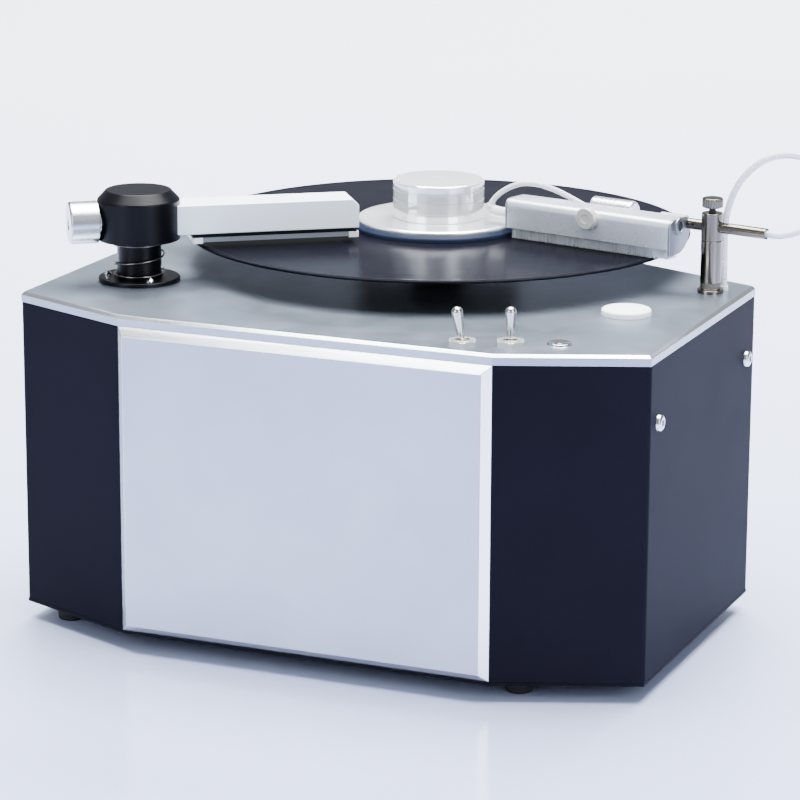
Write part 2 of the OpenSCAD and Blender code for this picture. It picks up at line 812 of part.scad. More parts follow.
module vacuum_pump() color("#3c4046") in_case() translate([pump_x, pump_y, wall_z]) {
    disc(pump_d, pump_h * 0.6);
    translate([0, 0, pump_h * 0.6]) disc(pump_d * 0.8, pump_h * 0.4);
    translate([0, 0, pump_h * 0.3]) rotate([0, -90, 0])
        cylinder(d = pump_neck, h = pump_x - tank_x1, $fn = round_n);
}

tank_y0 = column_y - tank_w / 2;

module waste_tank() color("#c9d0d6") in_case() difference() {
    l = tank_x1 - tank_x0;
    translate([tank_x0, tank_y0, wall_z]) cube([l, tank_w, tank_h]);
    translate([tank_x0 + tank_wall, tank_y0 + tank_wall, wall_z + tank_wall])
        cube([l - 2 * tank_wall, tank_w - 2 * tank_wall, tank_h - 2 * tank_wall]);
    translate([column_x, column_y, wall_z + tank_h]) drill(air_bore, -tank_wall - 1, 1);
    translate([drain_x, tank_y0 + tank_w, drain_z]) rotate([90, 0, 0])
        drill(drain_bore, -1, tank_wall + 1);
}

duct_d = 32;

module suction_duct() color("#2b2b30") in_case()
    translate([column_x, column_y, wall_z + tank_h])
        tube(duct_d, column_d + 2 * soft_gap, wall_h + plate_t - bush_l - tank_h);

fluid_w = 66;
fluid_tank_z = 78;
fluid_z0 = wall_z + fluid_tank_z;
fluid_pump_w = 40;
fluid_pump_d = 30;
fluid_pump_h = 34;

module fluid_tank() color("#dfe4e8") in_case() translate([filler_x, filler_y, 0]) difference() {
    union() {
        translate([-fluid_w / 2, -fluid_w / 2, fluid_z0])
            cube([fluid_w, fluid_w, plate_z - 15 - fluid_z0]);
        drill(neck_d, plate_z - 16, top_z);
    }
    translate([-fluid_w / 2 + tank_wall, -fluid_w / 2 + tank_wall, fluid_z0 + tank_wall])
        cube([fluid_w - 2 * tank_wall, fluid_w - 2 * tank_wall, plate_z - 15 - fluid_z0 - 2 * tank_wall]);
    drill(neck_bore, plate_z - 25, top_z + 1);
}

// The pump stands on the base and carries the tank above it
module fluid_pump() color("#2f3a4a") in_case() translate([filler_x, filler_y, wall_z]) {
    translate([-fluid_pump_w / 2, -fluid_pump_d / 2, 0]) cube([fluid_pump_w, fluid_pump_d, fluid_pump_h]);
    translate([0, 0, fluid_pump_h]) disc(fluid_pump_d - 4, fluid_tank_z - fluid_pump_h);
}

board_w = 86;
board_d = 66;
board_t = 1.6;
board_leg = 12;
board_hole_in = 5;
board_x = case_w / 2 - 86.5;
board_y = case_d - 53;

module control_board() color("#1f5a3c") in_case() translate([board_x, board_y, wall_z]) {
    hole_x = board_w / 2 - board_hole_in;
    hole_y = board_d / 2 - board_hole_in;
    for (x = [-hole_x, hole_x]) for (y = [-hole_y, hole_y]) translate([x, y, 0])
        cylinder(d = 6, h = board_leg, $fn = hull_n);
    translate([-board_w / 2, -board_d / 2, board_leg]) cube([board_w, board_d, board_t]);
    translate([0, 0, board_leg + board_t]) {
        translate([-board_w * 0.35, -board_d / 3, 0]) cube([board_w * 0.4, board_d * 0.45, board_leg * 2]);
        for (y = [-board_d * 0.36, board_d * 0.03]) translate([board_w / 6, y, 0])
            cube([board_w / 4.3, board_d / 4, board_leg * 1.2]);
    }
}

// Switches, lamp and filler

body_w = 15;
body_l = 22;
body_h = 20;
bush_top = nut_t + 0.4;
lever_bore = 8;
pivot_h = -1;
ball_d = 6.5;
pivot_d = 2;
pivot_l = 7.4;

module toggle_bodies() color("#26262b") for (s = [left_s, right_s]) at_row(s, 0) difference() {
    union() {
        translate([-body_l / 2, -body_w / 2, -plate_t - body_h]) cube([body_l, body_w, body_h]);
        drill(switch_hole, -plate_t - 1, bush_top);
    }
    drill(lever_bore, pivot_h - 4, bush_top + 1);
}

module toggle_nuts() color("#c4c3bf") for (s = [left_s, right_s]) at_row(s, 0) difference() {
    cylinder(d = nut_w / cos(30), h = nut_t, $fn = 6);
    drill(switch_hole + 2 * run_gap, -1, nut_t + 1);
}

// A lever on its ball, turned by lean towards the left
module lever(lean) {
    tip_r = lever_d / 2;
    translate([0, 0, pivot_h]) rotate([0, -lean, 0]) {
        sphere(d = ball_d, $fn = round_n);
        translate([0, pivot_l / 2, 0]) rotate([90, 0, 0]) drill(pivot_d, 0, pivot_l);
        cylinder(d = lever_d0, h = 5, $fn = round_n);
        translate([0, 0, bush_top - pivot_h])
            cylinder(d1 = lever_d0, d2 = lever_d, h = lever_l - tip_r - bush_top + nut_t, $fn = round_n);
        translate([0, 0, lever_l - tip_r + nut_t - pivot_h]) sphere(d = lever_d, $fn = round_n);
    }
}

module left_lever() color("#dcdad6") at_row(left_s, 0) lever(left_lean);

module right_lever() color("#dcdad6") at_row(right_s, 0) lever(0);

module lamp_bezel() color("#d8d9da") at_row(lamp_s, 0) difference() {
    union() {
        cylinder(d1 = bezel_d, d2 = bezel_d - 1.6, h = bezel_t, $fn = fine);
        drill(lamp_hole, -plate_t - 6, 0.1);
    }
    translate([0, 0, 0.6]) cylinder(d1 = lens_d + 2 * run_gap, d2 = bezel_d - 2.6, h = bezel_t, $fn = fine);
    drill(lens_d + 2 * run_gap, -plate_t - 3, 1);
}

module lamp_lens() color("#eef3fb") at_row(lamp_s, 0) {
    drill(lens_d, -plate_t - 3, 0);
    intersection() {
        scale([1, 1, 0.45]) sphere(d = lens_d, $fn = round_n);
        drill(lens_d, 0, lens_d);
    }
}

plug_l = 4;

module filler_cap() color("#f4f5f6") in_case() translate([filler_x, filler_y, top_z]) {
    disc(filler_d, filler_h - 0.8);
    translate([0, 0, filler_h - 0.8])
        cylinder(d1 = filler_d, d2 = filler_d - 1.6, h = 0.8, $fn = fine);
    drill(neck_bore - 2 * run_gap, -plug_l, 0);
}

// Rear connections

module power_socket() color("#1d1d20") in_case() translate([socket_x, case_d, socket_z])
    rotate([-90, 0, 0]) difference() {
        union() {
            cylinder(d = socket_d + 6, h = 2, $fn = round_n);
            drill(socket_d, -14, 1);
        }
        drill(7.5, -10, 3);
    }

module drain_fitting() color("#d7dade") in_case() translate([drain_x, case_d, drain_z])
    rotate([-90, 0, 0]) difference() {
        union() {
            drill(drain_d, tank_y0 + tank_w - case_d, drain_out);
            cylinder(d = drain_d + 8, h = 3, $fn = round_n);
        }
        drill(drain_bore, tank_y0 + tank_w - case_d - 1, drain_out + 1);
    }

// Hose fitting and hoses

module hose_fitting() color("#eceef0") at_post(0) translate([fitting_dx, fitting_dy, 0]) {
    drill(fitting_d, -plate_t - 8, 2.4);
    translate([0, 0, 2.4]) cylinder(d1 = fitting_d, d2 = fluid_hose_d, h = fitting_h - 2.4, $fn = hull_n);
}

module fluid_hose() color("#e6eaef") at_post(0)
    swept(fluid_route, fluid_hose_d / 2, 8, [0, 1, 0]);

// Brush post and rod

base_ring = 2;
knurl_h = 6;
pin_d = 6;

module brush_post() color("#b9b6b1") at_post(0) {
    disc(post_d + 3, base_ring);
    disc(post_d - 0.4, knurl_h);
    translate([0, 0, knurl_h]) disc(post_d, post_h - knurl_h);
    drill(pin_d, post_h, rod_h - rod_d / 2 - 1);
    drill(post_stud, -plate_t - 12, 0);
    translate([0, 0, -plate_t - post_nut_h]) cylinder(d = post_nut, h = post_nut_h, $fn = 6);
}

module swivel_block() color("#bdbab6") at_post(0) difference() {
    z0 = post_h + seam_gap;
    translate([0, 0, z0]) disc(post_d, block_h - seam_gap);
    drill(pin_d + 2 * run_gap, post_h - 1, rod_h);
    drill(screw_d + 2 * run_gap, rod_h, post_h + block_h + 1);
    translate([0, 0, rod_h]) rotate([0, 0, 180 - rod_turn]) rotate([0, 90, 0])
        drill(rod_d + 2 * run_gap, -post_d, post_d);
}

screw_d = 4;

module swivel_screw() color("#aeb0b2") at_post(post_h + block_h) {
    drill(screw_d, rod_h + rod_d / 2 + 0.3 - post_h - block_h, thumb_neck + 0.5);
    translate([0, 0, thumb_neck]) disc(thumb_d, thumb_h);
}

socket_l = 16;

module brush_rod() color("#c2c2c2") at_head() rotate([0, 90, 0]) difference() {
    drill(rod_d, -rod_out, head_s0 + socket_l);
    drill(rod_bore, -rod_out - 1, head_s0 + socket_l - 2);
}

// Brush head. Its profile is drawn as [towards the front, up], from the rod's axis.

// From [behind the front, up from the underside] to the profile's own frame
function to_profile(p) = [for (q = p) [head_front - q[0], q[1] - rod_in_head]];
back_r = 14.3;
back_u = 8.5;
back_w = 10.5;
nose_r = 4.5;
brow_r = 5.5;
boss_d = 9.2;

// The housing's section, or with drop the end plates' longer one
function head_profile(drop) = let(low = asin((back_w + drop) / back_r))
    to_profile(concat(
        [[0, -drop]],
        arc(nose_r, head_h - nose_r, nose_r, 180, 90, 6),
        arc(back_u + back_r - brow_r, head_h - brow_r, brow_r, 90, 0, 6),
        arc(back_u, back_w, back_r, 0, -low, 10)));

// A section carried from one distance along the rod to another
module along_head(s0, s1) {
    translate([s0, 0, 0]) rotate([90, 0, 90]) linear_extrude(s1 - s0) children();
}

bristle_in = 2.4;
bristle_back = 12;
slot_h = 3;
bore_fit = rod_d + 2 * run_gap;

module rod_hole() {
    rotate([0, 90, 0]) drill(bore_fit, head_s0 - 1, head_s0 + socket_l + 0.5);
}

module brush_housing() color("#c6cace") at_head() difference() {
    union() {
        along_head(head_s0 + end_t, head_s1 - end_t) polygon(head_profile(0));
        rotate([0, 90, 0]) drill(boss_d, head_s0 + end_t, head_s0 + socket_l + 2);
    }
    rod_hole();
    translate([head_s0, head_front - bristle_in - bristle_back, -rod_in_head - 1])
        cube([head_l, bristle_back, slot_h + 1]);
    translate([knob_s, head_front, 0]) rotate([90, 0, 0]) drill(3 + 2 * run_gap, -1, 8);
    translate([0, dose_y, 0]) rotate([0, 90, 0])
        drill(dose_d + 2 * run_gap, dose_s - dose_l, dose_s);
}

module end_plates() color("#e1e4e8") at_head() {
    difference() {
        union() {
            along_head(head_s0, head_s0 + end_t) polygon(head_profile(end_drop));
            rotate([0, 90, 0]) drill(boss_d, head_s0, head_s0 + end_t);
            translate([head_s0 - 1, plug_y, 0]) rotate([0, 90, 0])
                cylinder(d = plug_d, h = 1.5, $fn = round_n);
        }
        rod_hole();
        translate([head_s0 - 1, plug_y, 0]) rotate([0, 90, 0])
            translate([0, 0, -1]) cylinder(d = plug_d * 0.55, h = 2.2, $fn = round_n);
    }
    along_head(head_s1 - end_t, head_s1) polygon(head_profile(0));
}

plug_d = 10.6;
plug_y = head_front - 10.6;

// Four rows of three-sided strands in one strip, none straight, none crossing
bristle_foot = record_h + bristle_gap - rod_h;
strip_z = -rod_in_head;
strand_in = 1.5;
head_in = end_t + seam_gap;
strand_step = (head_l - 2 * head_in - 2 * strand_in) / (bristle_count - 1);
row_step = (bristle_back - 3) / max(bristle_rows - 1, 1);

// Strand k of row j: three points at its top and three at its foot
function strand(j, k) = let(
        x = head_s0 + head_in + strand_in + strand_step * k,
        y = head_front - bristle_in - 1.5 - row_step * j,
        dx = strand_step / 6 * sin(97 * k + 40 * j),
        dy = row_step / 9 * sin(61 * k + 110 * j),
        r = bristle_w / 2)
    concat(
        [for (a = [0:120:240]) [x + r * cos(a), y + r * sin(a), strip_z + 1]],
        [for (a = [0:120:240]) [x + dx + r * cos(a), y + dy + r * sin(a), bristle_foot]]);

strand_faces = [[0, 2, 1], [3, 4, 5], [0, 1, 4], [0, 4, 3], [1, 2, 5], [1, 5, 4], [2, 0, 3], [2, 3, 5]];

module bristles() color("#e9ebee") at_head() {
    strands = [for (j = [0:bristle_rows - 1]) for (k = [0:bristle_count - 1]) strand(j, k)];
    translate([head_s0 + head_in, head_front - bristle_in - bristle_back + seam_gap, strip_z])
        cube([head_l - 2 * head_in, bristle_back - 2 * seam_gap, slot_h]);
    polyhedron(
        [for (s = strands) each s],
        [for (i = [0:len(strands) - 1]) for (f = strand_faces) [for (v = f) v + 6 * i]]);
}

module brush_knob() color("#d2cfc8") at_head() translate([knob_s, head_front, 0])
    rotate([-90, 0, 0]) {
        translate([0, 0, soft_gap]) cylinder(d = knob_d, h = knob_out - soft_gap - 0.6, $fn = fine);
        translate([0, 0, knob_out - 0.6]) cylinder(d1 = knob_d, d2 = knob_d - 1.2, h = 0.6, $fn = fine);
        drill(3, -7.5, soft_gap + 0.1);
    }

dose_y = head_front - 29.5;

module dosing_cylinder() color("#d0d3d7") at_head() translate([dose_s - dose_l, dose_y, 0])
    rotate([0, 90, 0]) rotate_extrude($fn = fine) polygon(concat(
        [[0, 0], [dose_d / 2 - 1, 0], [dose_d / 2, 1]],
        [for (k = [0:3]) let(z = dose_l * 0.42 + 3 * k)
            each [[dose_d / 2, z], [dose_d / 2 - 0.5, z + 0.5], [dose_d / 2, z + 1]]],
        [[dose_d / 2, dose_l - 0.5], [dose_d / 2 - 0.5, dose_l], [0, dose_l]]));

elbow_d = 7;
elbow_low = 5.9;
last_point = brush_route[len(brush_route) - 1];

// The elbow leads the small hose into the head's far end
module dosing_elbow() color("#eef1f4") at_head() {
    translate([0, head_front - last_point[1], -elbow_low]) {
        rotate([0, 90, 0]) drill(elbow_d, head_s1, head_s1 - last_point[0]);
        translate([head_s1 - last_point[0], 0, 0]) {
            sphere(d = elbow_d, $fn = round_n);
            drill(elbow_d - 2, 0, last_point[2] - rod_h + elbow_low);
        }
    }
}

module brush_hose() color("#e6eaef") at_head()
    swept([for (p = brush_route) [head_s1 - p[0], head_front - p[1], p[2] - rod_h]],
        brush_hose_d / 2, 8, [0, 1, 0]);

base_plate();
front_panel();
left_cover();
right_cover();
rear_panel();
top_plate();
corner_posts();
panel_screws();
feet();
column_flange();
flange_screws();
column_bush();
column_spring();
spring_seat();
suction_column();
arm_hub();
suction_tube();
nozzle_gasket();
nozzle_bar();
nozzle_ends();
counterweight();
bearing_housing();
spindle();
platter();
record();
seal_ring();
label_disc();
clamp_puck();
platter_pulley();
drive_belt();
drive_motor();
motor_pulley();
vacuum_pump();
suction_duct();
waste_tank();
fluid_tank();
fluid_pump();
control_board();
toggle_bodies();
toggle_nuts();
left_lever();
right_lever();
lamp_bezel();
lamp_lens();
filler_cap();
power_socket();
drain_fitting();
hose_fitting();
fluid_hose();
brush_post();
swivel_block();
swivel_screw();
brush_rod();
brush_housing();
end_plates();
bristles();
brush_knob();
dosing_cylinder();
dosing_elbow();
brush_hose();
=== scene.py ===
# Record cleaning machine: a dark eight-sided case under a blasted aluminium plate, with
# a record under its clamp, a suction arm on a sprung column and a wet brush on a post.
# The frame and the properties are in metres. Profiles, routes and the sizes named here are in millimetres.
import json
import math

import bmesh
import bpy
import numpy as np
from bpy.props import FloatProperty, FloatVectorProperty, IntProperty, PointerProperty
from mathutils import Matrix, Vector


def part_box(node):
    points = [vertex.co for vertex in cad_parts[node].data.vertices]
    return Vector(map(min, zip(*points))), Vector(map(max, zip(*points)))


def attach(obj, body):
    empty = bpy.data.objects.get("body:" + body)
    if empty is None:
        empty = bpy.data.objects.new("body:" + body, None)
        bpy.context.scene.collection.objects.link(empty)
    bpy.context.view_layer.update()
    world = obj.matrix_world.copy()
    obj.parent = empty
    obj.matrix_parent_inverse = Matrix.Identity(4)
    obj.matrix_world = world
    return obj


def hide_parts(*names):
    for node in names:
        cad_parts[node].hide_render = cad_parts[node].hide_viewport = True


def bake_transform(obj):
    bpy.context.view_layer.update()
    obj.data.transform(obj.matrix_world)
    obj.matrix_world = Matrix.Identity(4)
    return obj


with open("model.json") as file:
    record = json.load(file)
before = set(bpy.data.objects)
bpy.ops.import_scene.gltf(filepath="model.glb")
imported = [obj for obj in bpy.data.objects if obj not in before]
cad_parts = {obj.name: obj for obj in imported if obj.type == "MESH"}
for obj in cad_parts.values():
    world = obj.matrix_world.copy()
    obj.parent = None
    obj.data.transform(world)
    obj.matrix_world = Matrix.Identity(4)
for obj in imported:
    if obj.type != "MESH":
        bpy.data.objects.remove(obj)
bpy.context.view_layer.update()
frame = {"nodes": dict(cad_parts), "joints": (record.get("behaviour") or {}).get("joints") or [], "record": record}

bl_info = {
    "name": "Record cleaning machine",
    "version": (1, 0, 0),
    "blender": (4, 5, 0),
    "location": "View3D > Sidebar > Cleaner",
    "description": "Dresses the record cleaning machine: case, arm, clamp, brush, switches and hoses",
    "category": "Object",
}

MM = 0.001
BODY_OF = {n: body for body, nodes in frame["record"]["behaviour"]["bodies"].items() for n in nodes}


def middle(node):
    low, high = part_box(node)
    return (np.array(low) + np.array(high)) / 2


def turned_axes(degrees):
    a = math.radians(degrees)
    return np.array([[math.cos(a), -math.sin(a), 0], [math.sin(a), math.cos(a), 0], [0, 0, 1]])


class Spot:
    """A place on the machine: millimetres along its own axes, times its axes, plus its origin, are metres in
    the shared frame."""

    def __init__(self, origin, axes=None):
        self.origin = np.array(origin, float)
        self.axes = np.eye(3) if axes is None else np.array(axes, float)

    def __call__(self, points):
        return self.origin + (np.asarray(points, float) * MM) @ self.axes.T

    def at(self, *point):
        """One point in metres, as a plain tuple."""
        return tuple(self(point).tolist())

    def moved(self, x=0.0, y=0.0, z=0.0):
        return Spot(self((x, y, z)), self.axes)

    def turned(self, degrees):
        return Spot(self.origin, self.axes @ turned_axes(degrees))

    def facing(self, z, x):
        """The same place with its Z and X along the given directions."""
        z, x = np.array(z, float), np.array(x, float)
        z /= np.linalg.norm(z)
        y = np.cross(z, x)
        y /= np.linalg.norm(y)
        return Spot(self.origin, self.axes @ np.stack([np.cross(y, z), y, z], 1))


def above(node, degrees=0.0):
    """The plate's upper face straight above or below a node's middle."""
    m = middle(node)
    return Spot([m[0], m[1], PLATE_Z], turned_axes(degrees))


# Heights over the top plate
FLANGE_TOP, SEAT_LOW, HUB_LOW = 2.5, 23.4, 24.6
RECORD_LOW, RECORD_TOP, SEAL_TOP, DISC_TOP, PUCK_AIR = 17.2, 19.0, 23.2, 25.4, 0.03
BLOCK_TOP, ROD_Z = 46.6, 38.4
# Half the case's width, and the radii of the record's hole and of the post
CASE_HALF, HOLE_R, POST_R = 190.5, 3.65, 6.1
# From the post along the brush to its far end and to its knob, and from the rod across to its front line
HEAD_END, KNOB_AT, HEAD_FRONT = 127.86, 70, 20.9
DOSE_L = 28  # the dosing cylinder's length

PLATE_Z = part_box("top_plate")[1].z
CASE = Spot([middle("base_plate")[0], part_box("base_plate")[0].y, 0])
arm_way = middle("nozzle_ends") - middle("column_flange")
ARM = above("column_flange", math.degrees(math.atan2(arm_way[1], arm_way[0])))
SPINDLE = above("record")
POST = above("brush_post")
reach_axis = next(j["axis"] for j in frame["joints"] if j["name"] == "brush_reach")
HEAD = POST.moved(z=ROD_Z).turned(math.degrees(math.atan2(-reach_axis[1], -reach_axis[0])))
CORNER = Spot([*CASE((112, 0, 0))[:2], PLATE_Z], turned_axes(math.degrees(math.atan2(31.7, 78.5))))
FILLER = above("filler_cap")


# Shapes

class Shell:
    """Points in metres, faces as rows of point numbers, a UV for each point and a finish number for each
    face."""

    def __init__(self, points, faces, uv, finish=0):
        self.points = np.asarray(points, float).reshape(-1, 3)
        self.faces = [tuple(f) for f in (faces.tolist() if hasattr(faces, "tolist") else faces)]
        self.uv = np.asarray(uv, float).reshape(-1, 2)
        self.finish = [finish] * len(self.faces) if np.isscalar(finish) else list(finish)


def joined(*shells):
    """Several shells as one, each one's face numbers raised by the points before it."""
    starts = np.cumsum([0] + [len(s.points) for s in shells])
    faces = [tuple(v + start for v in f) for s, start in zip(shells, starts) for f in s.faces]
    return Shell(
        np.concatenate([s.points for s in shells]), faces,
        np.concatenate([s.uv for s in shells]), [k for s in shells for k in s.finish])


def sheet_faces(m, n):
    """The quads over an m by n grid of points, as rows of four point numbers."""
    i = np.arange(m * n).reshape(m, n)
    return np.stack([i[:-1, :-1], i[:-1, 1:], i[1:, 1:], i[1:, :-1]], -1).reshape(-1, 4)


def run_length(points):
    """The distance along a run of points from its first."""
    return np.concatenate([[0], np.cumsum(np.linalg.norm(np.diff(points, axis=0), axis=1))])


def eased(points, radius, steps=4, closed=False):
    """A run with its corners rounded: each corner c, with a and b a radius before and after it, becomes
    (1-t)^2 a + 2t(1-t) c + t^2 b."""
    p = np.asarray(points, float)
    before, after = np.roll(p, 1, 0) - p, np.roll(p, -1, 0) - p
    la = np.linalg.norm(before, axis=1, keepdims=True)
    lb = np.linalg.norm(after, axis=1, keepdims=True)
    r = np.broadcast_to(np.asarray(radius, float), len(p))[:, None]
    a = p + before / np.maximum(la, 1e-9) * np.minimum(r, la * 0.49)
    b = p + after / np.maximum(lb, 1e-9) * np.minimum(r, lb * 0.49)
    t = np.linspace(0, 1, steps)[None, :, None]
    curve = (1 - t) ** 2 * a[:, None] + 2 * t * (1 - t) * p[:, None] + t**2 * b[:, None]
    if closed:
        run = curve.reshape(-1, p.shape[1])
    else:
        run = np.concatenate([p[:1], curve[1:-1].reshape(-1, p.shape[1]), p[-1:]])
    step = np.linalg.norm(run - np.roll(run, 1, 0), axis=1)
    keep = step > 1e-6
    keep[0] = True
    return run[keep]


def turned_shell(spot, profile, steps=96, radius_at=None, finish=0):
    """A profile of (r, z) carried round the spot's Z axis: (r cos a, r sin a, z). radius_at(a, r, z) may
    change r round the axis."""
    p = np.asarray(profile, float)
    a = np.linspace(0, 2 * np.pi, steps + 1)
    r = np.repeat(p[:, :1], steps + 1, 1)
    z = np.repeat(p[:, 1:2], steps + 1, 1)
    if radius_at is not None:
        r = radius_at(a[None, :], r, z)
    points = np.stack([r * np.cos(a), r * np.sin(a), z], -1)
    v = run_length(p) / 100
    uv = np.stack(np.broadcast_arrays(a[None, :] / (2 * np.pi), v[:, None]), -1)
    return Shell(spot(points.reshape(-1, 3)), sheet_faces(len(p), steps + 1), uv, finish)


def looped(profile):
    """A profile whose end is joined to its start."""
    p = np.asarray(profile, float)
    return np.concatenate([p, p[:1]])


def lathe(spot, profile, radii, arc_steps, steps, hollow=False, finish=0):
    """A profile with eased corners, turned round the spot's Z axis. A hollow one's end is joined to its start."""
    run = eased(looped(profile) if hollow else profile, radii, arc_steps)
    return turned_shell(spot, run, steps, finish=finish)


def grooves(r, depth, heights, lip, floor=0.2):
    """Turned grooves round the given heights, each as four points (r, z): a lip, the floor's two ends that
    far above and below the middle, and a lip."""
    z = np.asarray(heights, float)
    corners = ((r, -lip), (r - depth, -floor), (r - depth, floor), (r, lip))
    return np.stack([np.stack([np.full(len(z), x), z + h], 1) for x, h in corners], 1).reshape(-1, 2)


def drawn_in(outline, d):
    """An outline drawn in by d: each corner moves along its two inward normals' sum, over one plus their
    product."""
    p = np.asarray(outline, float)
    a, b = p - np.roll(p, 1, 0), np.roll(p, -1, 0) - p
    na = np.stack([-a[:, 1], a[:, 0]], 1) / np.linalg.norm(a, axis=1, keepdims=True)
    nb = np.stack([-b[:, 1], b[:, 0]], 1) / np.linalg.norm(b, axis=1, keepdims=True)
    return p + d * (na + nb) / np.maximum(1 + (na * nb).sum(1, keepdims=True), 0.3)


def prism(spot, outline, z0, z1, edge=0.3):
    """An outline carried along the spot's Z axis from z0 to z1. Its two ends are drawn in by a quarter circle
    of the edge's radius: edge (1 - sin q) inwards at a height of edge (1 - cos q), in four steps."""
    o = np.asarray(outline, float)
    q = np.array([0, 0.25, 0.5, 0.75, 1]) * np.pi / 2
    inset = edge * (1 - np.sin(q))
    rise = edge * (1 - np.cos(q))
    rings = [np.column_stack([drawn_in(o, i), np.full(len(o), z0 + h)]) for i, h in zip(inset, rise)]
    rings += [np.column_stack([drawn_in(o, i), np.full(len(o), z1 - h)]) for i, h in zip(inset[::-1], rise[::-1])]
    grid = np.stack([looped(r) for r in rings])
    m, n = grid.shape[:2]
    u = run_length(looped(o)) / 100
    uv = np.stack(np.broadcast_arrays(u[None, :], grid[:, :, 2] / 100), -1)
    faces = sheet_faces(m, n).tolist()
    faces += [tuple(range(n - 2, -1, -1)), tuple((m - 1) * n + k for k in range(n - 1))]
    return Shell(spot(grid.reshape(-1, 3)), faces, uv)


def smooth_run(points, per):
    """A smooth curve through the points, with per steps between two of them: the Catmull-Rom cubic of each
    four neighbours."""
    p = np.asarray(points, float)
    q = np.concatenate([2 * p[:1] - p[1:2], p, 2 * p[-1:] - p[-2:-1]])
    a, b, c, d = q[:-3, None], q[1:-2, None], q[2:-1, None], q[3:, None]
    t = np.linspace(0, 1, per, endpoint=False)[None, :, None]
    run = 0.5 * (2 * b + (c - a) * t + (2 * a - 5 * b + 4 * c - d) * t**2 + (3 * b - a - 3 * c + d) * t**3)
    return np.concatenate([run.reshape(-1, 3), p[-1:]])


def swept_shell(spot, path, radius, sides, side=(0, 1, 0), bore=None):
    """A round tube along a path: point i plus r times (cos a, sin a) across the path's direction there. Its
    ends close on the path, or with a bore turn back inside it."""
    p = np.asarray(path, float)
    t = np.gradient(p, axis=0)
    t /= np.linalg.norm(t, axis=1, keepdims=True)
    x = np.cross(t, side)
    x /= np.linalg.norm(x, axis=1, keepdims=True)
    y = np.cross(t, x)
    r = np.broadcast_to(np.asarray(radius, float), len(p))
    if bore is None:
        order = np.concatenate([[0], np.arange(len(p)), [len(p) - 1]])
        rr = np.concatenate([[0], r, [0]])
    else:
        order = np.concatenate([np.arange(len(p)), np.arange(len(p))[::-1], [0]])
        rr = np.concatenate([r, np.full(len(p), bore), r[:1]])
    a = np.linspace(0, 2 * np.pi, sides + 1)
    ring = np.cos(a)[None, :, None] * x[order][:, None] + np.sin(a)[None, :, None] * y[order][:, None]
    points = p[order][:, None] + rr[:, None, None] * ring
    v = run_length(p)[order] / 100
    uv = np.stack(np.broadcast_arrays(a[None, :] / (2 * np.pi), v[:, None]), -1)
    return Shell(spot(points.reshape(-1, 3)), sheet_faces(len(order), sides + 1), uv)


def strands(spot, feet, tips, width, bend):
    """Four-sided bristles from feet to tips: at t from 0 to 1 the middle is the straight line plus bend times
    t squared, and the width shrinks by a third."""
    t = np.array([0.0, 0.4, 0.75, 1.0])
    middle_line = feet[:, None] * (1 - t)[None, :, None] + tips[:, None] * t[None, :, None]
    middle_line = middle_line + bend[:, None] * (t**2)[None, :, None]
    corner = np.array([[1, 0, 0], [0, 1, 0], [-1, 0, 0], [0, -1, 0]]) * width / 2
    points = middle_line[:, :, None] + corner[None, None] * (1 - t / 3)[None, :, None, None]
    n = len(feet)
    base = np.arange(n)[:, None, None] * 16
    k = np.arange(4)
    quad = np.stack([k, (k + 1) % 4, (k + 1) % 4 + 4, k + 4], -1)
    sides = base + (np.arange(3)[:, None, None] * 4 + quad[None]).reshape(1, 12, 4)
    ends = base + np.array([[[3, 2, 1, 0], [12, 13, 14, 15]]])
    faces = np.concatenate([sides, ends], 1).reshape(-1, 4)
    uv = np.stack(np.broadcast_arrays(np.linspace(0, 1, n)[:, None], np.repeat(t, 4)[None, :]), -1)
    return Shell(spot(points.reshape(-1, 3)), faces, uv)


def arc(x, y, r, start, end, steps):
    """Points on a circle round (x, y): (x + r cos a, y + r sin a)."""
    a = np.radians(np.linspace(start, end, steps))
    return np.stack([x + r * np.cos(a), y + r * np.sin(a)], 1)


# From shapes to pieces

def finish_mesh(obj, angle, bevel):
    """Smooth shading with sharp creases over the angle, a small bevel and normals weighed by face."""
    mesh = obj.data
    mesh.polygons.foreach_set("use_smooth", np.ones(len(mesh.polygons), bool))
    mesh.set_sharp_from_angle(angle=math.radians(angle))
    if bevel:
        soft = obj.modifiers.new("Eased edges", "BEVEL")
        soft.width = bevel * MM
        soft.segments = 2
        soft.limit_method = "ANGLE"
        soft.angle_limit = math.radians(28)
        soft.use_clamp_overlap = True
    even = obj.modifiers.new("Even normals", "WEIGHTED_NORMAL")
    even.keep_sharp = True


def settle(obj, finishes, node, bends=None):
    """Gives a piece its finishes and hides the node that it stands for; it joins that node's body, or with bends
    its placing is baked into its points."""
    for name in [finishes] if isinstance(finishes, str) else finishes:
        obj.data.materials.append(finish(name))
    if bends:
        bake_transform(obj)
    else:
        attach(obj, BODY_OF[node])
    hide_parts(node)
    return obj


